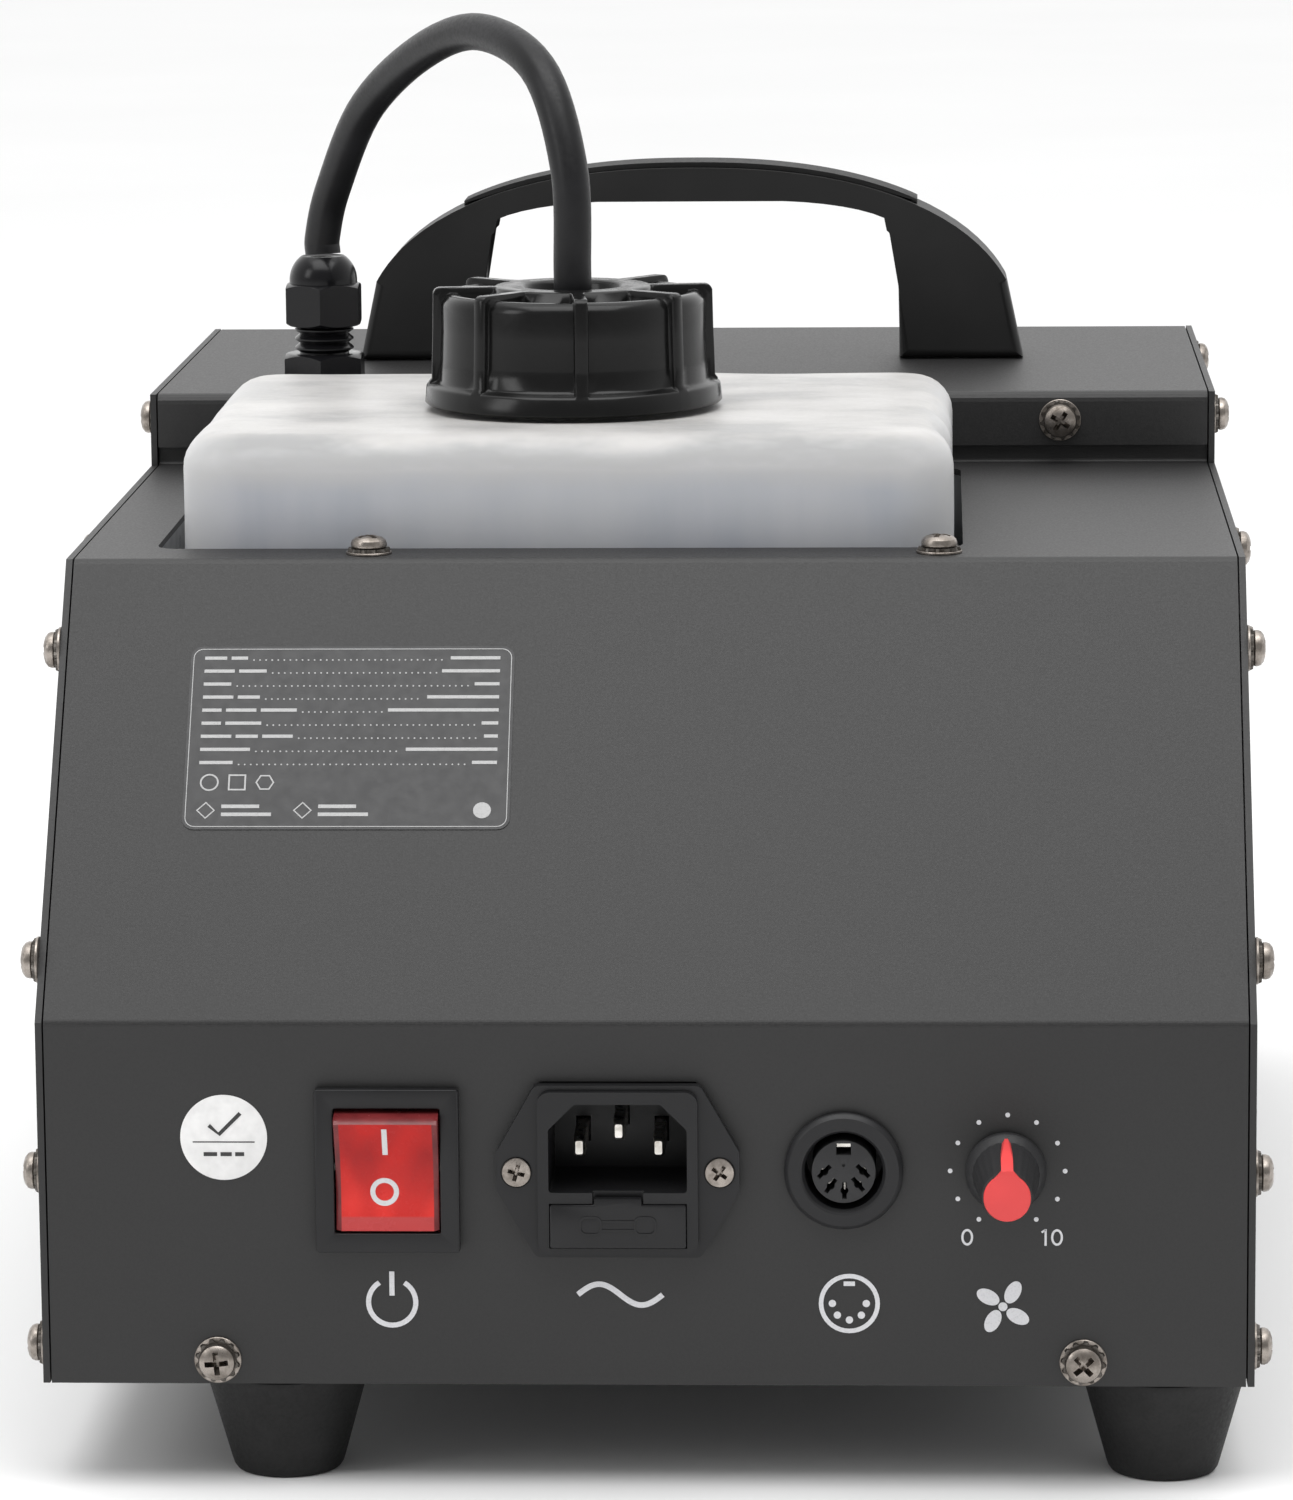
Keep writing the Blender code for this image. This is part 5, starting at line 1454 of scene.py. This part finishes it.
def round_levels(levels, centre, steps):
    """Rings about y through centre from (radius, y, flute depth) levels; a radius of 0 is a pole."""
    shape = bmesh.new()
    rings = []
    for radius, y, flute in levels:
        ring = []
        for i in range(steps if radius > 0 else 1):
            angle = math.tau * i / steps
            reach = radius - flute * (1 - math.cos(KNOB_FLUTES * angle)) / 2
            place = (centre[0] + reach * math.cos(angle), y, centre[1] + reach * math.sin(angle))
            ring.append(shape.verts.new(place))
        rings.append(ring)
    skin(shape, rings)
    return shape


def make_knob(plastic, red):
    """The knob: a conical skirt, a fluted barrel, and the red cap with its pointer."""
    x, z = KNOB
    front = KNOB_FRONT
    flute = 0.00014
    levels = (
        (0.0, -0.0132, 0.0), (0.0033, -0.0132, 0.0), (0.0033, -0.0008, 0.0), (0.0069, -0.0008, 0.0),
        (0.0071, -0.0010, 0.0), (0.0071, -0.0021, 0.0), (0.0070, -0.0023, 0.0), (0.00615, -0.0034, 0.0),
        (0.00595, -0.0036, flute), (0.0051, -0.0130, flute), (0.0046, front + 0.0007, flute),
        (0.0044, front + 0.0002, 0.0), (0.0041, front, 0.0), (0.0, front, 0.0),
    )
    knob = raw_object("knob_body", round_levels(levels, KNOB, 96))
    finish_piece(knob, plastic, "knob", ["knob"], 30.0)

    tip, back = KNOB_CAP_Y
    disc = ((0.0, back), (0.0041, back), (0.0041, tip + 0.0003), (0.0039, tip), (0.0, tip))
    cap = raw_object("knob_pointer_cap", turned(disc, "Y", KNOB, 64))
    side = ((tip, 0.0), (tip, 0.0049), (-0.0050, 0.0069), (-0.0050, 0.0061), (back, 0.0048), (back, 0.0))
    arm = raw_object("pointer_arm", prism([(y, z + r) for y, r in side], "X", x - 0.004, x + 0.004))
    half = 0.00105
    plan = ((-0.0032, 0.0), (0.0032, 0.0), (0.0031, 0.0026), (0.0018, 0.0039), (half, 0.0048), (half, 0.0056),
            (0.0, 0.0073), (-half, 0.0056), (-half, 0.0048), (-0.0018, 0.0039), (-0.0031, 0.0026))
    boolean(arm, prism([(x + u, z + v) for u, v in plan], "Y", -0.030, 0.0), "INTERSECT")
    boolean(cap, take_shape(arm), "UNION")
    bevelled(cap, 0.00018, 2, 40.0)
    finish_piece(cap, red, "knob", ["knob_cap"])


def stroke(points, width, low, high):
    """A flat line of even width along points on the panel."""
    points = [Vector(p) for p in points]
    left = []
    right = []
    for i, point in enumerate(points):
        before = points[max(i - 1, 0)]
        after = points[min(i + 1, len(points) - 1)]
        along = (after - before).normalized()
        side = Vector((-along.y, along.x)) * width / 2
        left.append(point + side)
        right.append(point - side)
    shape = bmesh.new()
    rings = []
    for a, b in zip(left, right):
        rings.append([shape.verts.new((p.x, y, p.y)) for p, y in ((a, low), (b, low), (b, high), (a, high))])
    solid(shape, rings)
    return shape


def dot(centre, radius, low=None, high=None, steps=24):
    low = PRINT_Y[0] if low is None else low
    high = PRINT_Y[1] if high is None else high
    return rod("Y", centre, radius, low, high, steps)


def line(points, width):
    return stroke(points, width, *PRINT_Y)


def arc(centre, radius, start, end, steps=32):
    turns = [math.radians(start + (end - start) * i / steps) for i in range(steps + 1)]
    return [(centre[0] + radius * math.cos(a), centre[1] + radius * math.sin(a)) for a in turns]


def hoop(centre, outer, inner, low, high, steps=40):
    profile = ((outer, low), (outer, high), (inner, high), (inner, low))
    return turned(profile, "Y", centre, steps, closed=True)


def print_piece(name, shapes, look):
    obj = raw_object(name, joined(*shapes))
    return finish_piece(obj, look, "case")


def make_panel_print(white):
    """Plain symbols under the controls, a dial's dots and its two end numbers."""
    power = (-0.0450, 0.0150)
    print_piece("print_power", [
        line(arc(power, 0.0042, 122, 418), 0.0009),
        line([(power[0], power[1] + 0.0012), (power[0], power[1] + 0.0056)], 0.0009),
    ], white)

    mains = (-0.0045, 0.0165)
    wave = []
    for i in range(41):
        wave.append((mains[0] - 0.0075 + 0.015 * i / 40, mains[1] + 0.0019 * math.sin(math.tau * i / 40)))
    print_piece("print_mains", [line(wave, 0.0010)], white)

    socket = (0.0360, 0.0150)
    pins = [dot(arc(socket, 0.0030, a, a + 1, 1)[0], 0.00065) for a in (180, 225, 270, 315, 360)]
    print_piece("print_remote", [hoop(socket, 0.0054, 0.0046, *PRINT_Y)] + pins + [
        line([(socket[0] - 0.0010, socket[1] + 0.0036), (socket[0] + 0.0010, socket[1] + 0.0036)], 0.0008),
    ], white)

    fan = (0.0631, 0.0145)
    blades = []
    for turn in range(4):
        outline = []
        for i in range(24):
            a = math.tau * i / 24
            reach = 0.0031 + 0.0021 * math.cos(a)
            local = Vector((reach, 0.0006 + 0.00135 * math.sin(a) + 0.0004 * math.cos(a)))
            spun = Matrix.Rotation(math.radians(45 + 90 * turn), 2) @ local
            outline.append((fan[0] + spun.x, fan[1] + spun.y))
        blades.append(prism(outline, "Y", *PRINT_Y))
    print_piece("print_fan", [dot(fan, 0.0008)] + blades, white)

    marks = []
    for i in range(11):
        place = arc(DOT_CENTRE, DOT_RING, 240 - 30 * i, 240, 1)[0]
        marks.append(dot(place, 0.00042, steps=16))
    low_end, high_end = (0.0568, 0.0271), (0.0716, 0.0271)
    marks.append(oval(low_end, 0.00085, 0.0013))
    x, z = high_end
    marks.append(line([(x - 0.0010, z - 0.0015), (x - 0.0010, z + 0.0015)], 0.0004))
    marks.append(line([(x - 0.0017, z + 0.0009), (x - 0.0010, z + 0.0014)], 0.00035))
    marks.append(oval((high_end[0] + 0.0010, high_end[1]), 0.00085, 0.0013))
    print_piece("print_dial", marks, white)


def oval(centre, half_x, half_z, width=0.0004):
    """The outline of an upright oval, as the figure nought."""
    steps = 28
    rings = []
    for grow in (width / 2, -width / 2):
        rings.append([
            (centre[0] + (half_x + grow) * math.cos(math.tau * i / steps),
             centre[1] + (half_z + grow) * math.sin(math.tau * i / steps))
            for i in range(steps)
        ])
    return band(rings[0], rings[1], *PRINT_Y)


def make_sticker(film, inky):
    """The round white sticker, with a tick over a rule."""
    disc = ((0.0, -0.00002), (0.0077, -0.00002), (0.0077, -0.00016), (0.0076, -0.0002), (0.0, -0.0002))
    sticker = raw_object("round_sticker", turned(disc, "Y", STICKER, 72))
    finish_piece(sticker, film, "case")
    x, z = STICKER
    depth = (-0.00026, -0.00018)
    marks = [
        stroke(
            [(x - 0.0026, z + 0.0022), (x - 0.0008, z + 0.0006), (x + 0.0030, z + 0.0044)], 0.0007, *depth,
        ),
        stroke([(x - 0.0055, z - 0.0008), (x + 0.0055, z - 0.0008)], 0.0002, *depth),
    ]
    for start, end in ((-0.0036, -0.0012), (-0.0006, 0.0014), (0.0020, 0.0036)):
        marks.append(stroke([(x + start, z - 0.0030), (x + end, z - 0.0030)], 0.0007, *depth))
    print_marks = raw_object("round_sticker_marks", joined(*marks))
    finish_piece(print_marks, inky, "case")


def slope_frame():
    """Turns a shape drawn as on the panel, with z up the slope from its foot, onto the slope."""
    run = Vector((0.0, SLOPE_END, DECK_Z - PANEL_H)).normalized()
    inward = Vector((0.0, run.z, -run.y))
    across = Vector((1.0, 0.0, 0.0))
    turn = Matrix((across, inward, run)).transposed().to_4x4()
    return Matrix.Translation((0.0, 0.0, PANEL_H)) @ turn


def make_rating_plate(film, inky):
    """The dark plate on the slope: a fine border, nine ruled rows with dotted leaders, and plain shapes."""
    place = slope_frame()
    left, right = PLATE_X
    low, high = PLATE_Z
    base = prism(rectangle((left, low), (right, high), 0.0022), "Y", -0.00014, -0.00002)
    plate = raw_object("rating_plate", moved(base, place))
    finish_piece(plate, film, "case")
    depth = (-0.0002, -0.00012)
    edge, fine = 0.0005, 0.00014
    marks = [band(
        rectangle((left + edge, low + edge), (right - edge, high - edge), 0.0018),
        rectangle((left + edge + fine, low + edge + fine), (right - edge - fine, high - edge - fine), 0.0017),
        *depth,
    )]
    for row, (lead, tail) in enumerate(PLATE_ROWS):
        z = high - 0.0024 - PLATE_PITCH * row
        end = left + 0.0026
        for share in lead:
            marks.append(stroke([(end, z), (end + share * 0.001, z)], 0.00065, *depth))
            end += share * 0.001 + 0.0008
        start = right - 0.0026 - tail * 0.001
        marks.append(stroke([(start, z), (right - 0.0026, z)], 0.00065, *depth))
        dots = int((start - end) / 0.0011)
        for i in range(dots):
            marks.append(rod("Y", (end + 0.0003 + 0.0011 * i, z - 0.0004), 0.00016, *depth, 8))
    z = low + 0.0094
    shapes_x = left + 0.0046
    marks.append(hoop((shapes_x, z), 0.0017, 0.0014, *depth, 28))
    marks.append(band(
        rectangle(*centred((shapes_x + 0.0050, z), (0.0032, 0.0032))),
        rectangle(*centred((shapes_x + 0.0050, z), (0.0026, 0.0026))), *depth,
    ))
    marks.append(hoop((shapes_x + 0.0100, z), 0.0017, 0.0014, *depth, 6))
    z = low + 0.0038
    for start in (0.0026, 0.0200):
        marks.append(hoop((left + start + 0.0016, z), 0.0017, 0.0014, *depth, 4))
        for rise, size in ((0.0008, 0.0068), (-0.0008, 0.0090)):
            bar = [(left + start + 0.0044, z + rise), (left + start + 0.0044 + size, z + rise)]
            marks.append(stroke(bar, 0.0007, *depth))
    marks.append(rod("Y", (right - 0.0050, z), 0.0016, *depth, 28))
    printed = raw_object("rating_plate_print", moved(joined(*marks), place))
    finish_piece(printed, inky, "case")


def make_outlet(hood_look, slat_look, steel):
    """The outlet's moulded hood with a rounded flange and four screws, and its two slats."""
    (x0, z0), (x1, z1) = OUTLET
    face = CASE_L + GAP
    flange = rectangle((x0 - 0.008, z0 - 0.008), (x1 + 0.008, z1 + 0.008), 0.0030)
    hood = raw_object("hood", prism(flange, "Y", face, face + 0.0020))
    duct = rectangle((x0 - HOOD_WALL, z0 - HOOD_WALL), (x1 + HOOD_WALL, z1 + HOOD_WALL), 0.0020)
    boolean(hood, prism(duct, "Y", face + 0.0010, HOOD_END), "UNION")
    boolean(hood, prism(rectangle((x0, z0), (x1, z1), 0.0008), "Y", face - 0.001, HOOD_END + 0.001))
    bevelled(hood, 0.0005, 3, 40.0)
    hood.name = "hood_moulding"
    finish_piece(hood, hood_look, "case", ["outlet_hood"])
    for name, share in (("outlet_slat_lower", 1 / 3), ("outlet_slat_upper", 2 / 3)):
        z = z0 + (z1 - z0) * share
        section = rectangle((face + 0.004, z - 0.0008), (HOOD_END - 0.002, z + 0.0008), 0.0006)
        slat = prism(section, "X", x0, x1)
        obj = raw_object(name + "_blade", slat)
        finish_piece(obj, slat_look, "case", [name])
    small = flat_screw()
    places = []
    for i, x in enumerate((x0 - 0.005, x1 + 0.005)):
        for j, z in enumerate((z0 - 0.005, z1 + 0.005)):
            places.append(facing((0, 1, 0), (x, face + 0.0019, z), 25.0 + 40.0 * i + 70.0 * j))
    screws = raw_object("hood_screws", copies(small, places))
    finish_piece(screws, steel, "case", (), 30.0)


def dress_cad(looks):
    """Give every CAD node that stays a finish, and the sheets a fine edge radius."""
    for look, names in looks:
        for name in names:
            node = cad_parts[name]
            node.data.materials.clear()
            node.data.materials.append(look)
    for name in ("side_plate_left", "side_plate_right", "rear_cover", "top_cover", "front_panel"):
        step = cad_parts[name].modifiers.new("edge", "BEVEL")
        step.width = 0.00022
        step.segments = 2
        step.limit_method = "ANGLE"
        step.angle_limit = math.radians(50)


def main():
    make_camera()
    hose_rubber = rubber("hose_rubber", (0.008, 0.008, 0.009), 0.40)
    make_hose(hose_rubber)

    coat = powder_coat("powder_coat")
    zinc = sheet_metal("zinc_sheet", (0.60, 0.61, 0.62))
    nickel = plated("nickel_screws", (0.34, 0.305, 0.275))
    contact = plated("contact_metal", (0.72, 0.70, 0.66), 0.22, (0.45, 0.42, 0.36))
    gloss = moulded_plastic("gloss_black", (0.006, 0.006, 0.006), 0.20, 900.0, 0.06)
    nylon = moulded_plastic("gland_nylon", (0.007, 0.007, 0.008), 0.24, 1200.0, 0.08)
    satin = moulded_plastic("satin_black", (0.014, 0.014, 0.015), 0.36)
    handle_look = moulded_plastic("handle_black", (0.018, 0.018, 0.018), 0.52, 2200.0, 0.20)
    soft = rubber("soft_black", (0.011, 0.011, 0.011), 0.60)
    dark_works = moulded_plastic("works_black", (0.025, 0.025, 0.026), 0.45)
    liner_look = moulded_plastic("liner_black", (0.020, 0.020, 0.020), 0.34)
    white_ink = ink("white_ink", (0.66, 0.66, 0.68))
    black_ink = ink("black_ink", (0.030, 0.030, 0.030))
    grey_ink = ink("grey_ink", (0.42, 0.42, 0.42))
    brass = plated("filter_brass", (0.72, 0.52, 0.24), 0.30, (0.30, 0.20, 0.10))
    pump_steel = brushed("pump_steel", (0.60, 0.60, 0.60))
    casting = cast_metal("heater_casting", (0.68, 0.69, 0.70))
    poly = polythene()
    pointer = moulded_plastic("pointer_red", (0.66, 0.062, 0.062), 0.38, 1500.0, 0.1)

    make_tank(poly)
    make_cap(gloss)
    make_liner(liner_look)
    make_gland(nylon)
    make_handle(handle_look, soft)
    make_feet(soft, nickel)
    make_screws(nickel, plated("dark_washers", (0.13, 0.12, 0.11), 0.40, (0.05, 0.04, 0.03)))
    make_switch(satin, translucent_red(), rocker_rim(), white_ink)
    make_inlet(satin, contact)
    make_drawer(satin)
    make_fuse(fuse_glass(), contact)
    make_din(satin, dark_works, contact)
    make_knob(moulded_plastic("knob_black", (0.020, 0.020, 0.021), 0.42), pointer)
    make_panel_print(white_ink)
    make_sticker(label_film("sticker_film", (0.74, 0.735, 0.73)), black_ink)
    make_rating_plate(label_film("plate_film", (0.020, 0.020, 0.021), 0.42), grey_ink)
    make_outlet(dark_works, dark_works, nickel)
    dress_cad((
        (coat, ("base_plate", "rear_cover", "top_cover", "front_panel")),
        (coat, ("side_plate_left", "side_plate_right")),
        (zinc, ("tank_bay", "heater_shield", "outlet_plenum", "pump_bracket", "potentiometer")),
        (poly, ("pickup_tube",)),
        (brass, ("pickup_filter", "nozzle")),
        (nylon, ("gland_locknut",)),
        (contact, ("rocker_pin", "pot_shaft")),
        (casting, ("heater_block",)),
        (dark_works, ("fan_frame", "fan_rotor", "pump_body", "thermostat")),
        (pump_steel, ("pump_plunger", "pump_spring")),
        (laminate(), ("circuit_board",)),
    ))
    make_studio()


main()
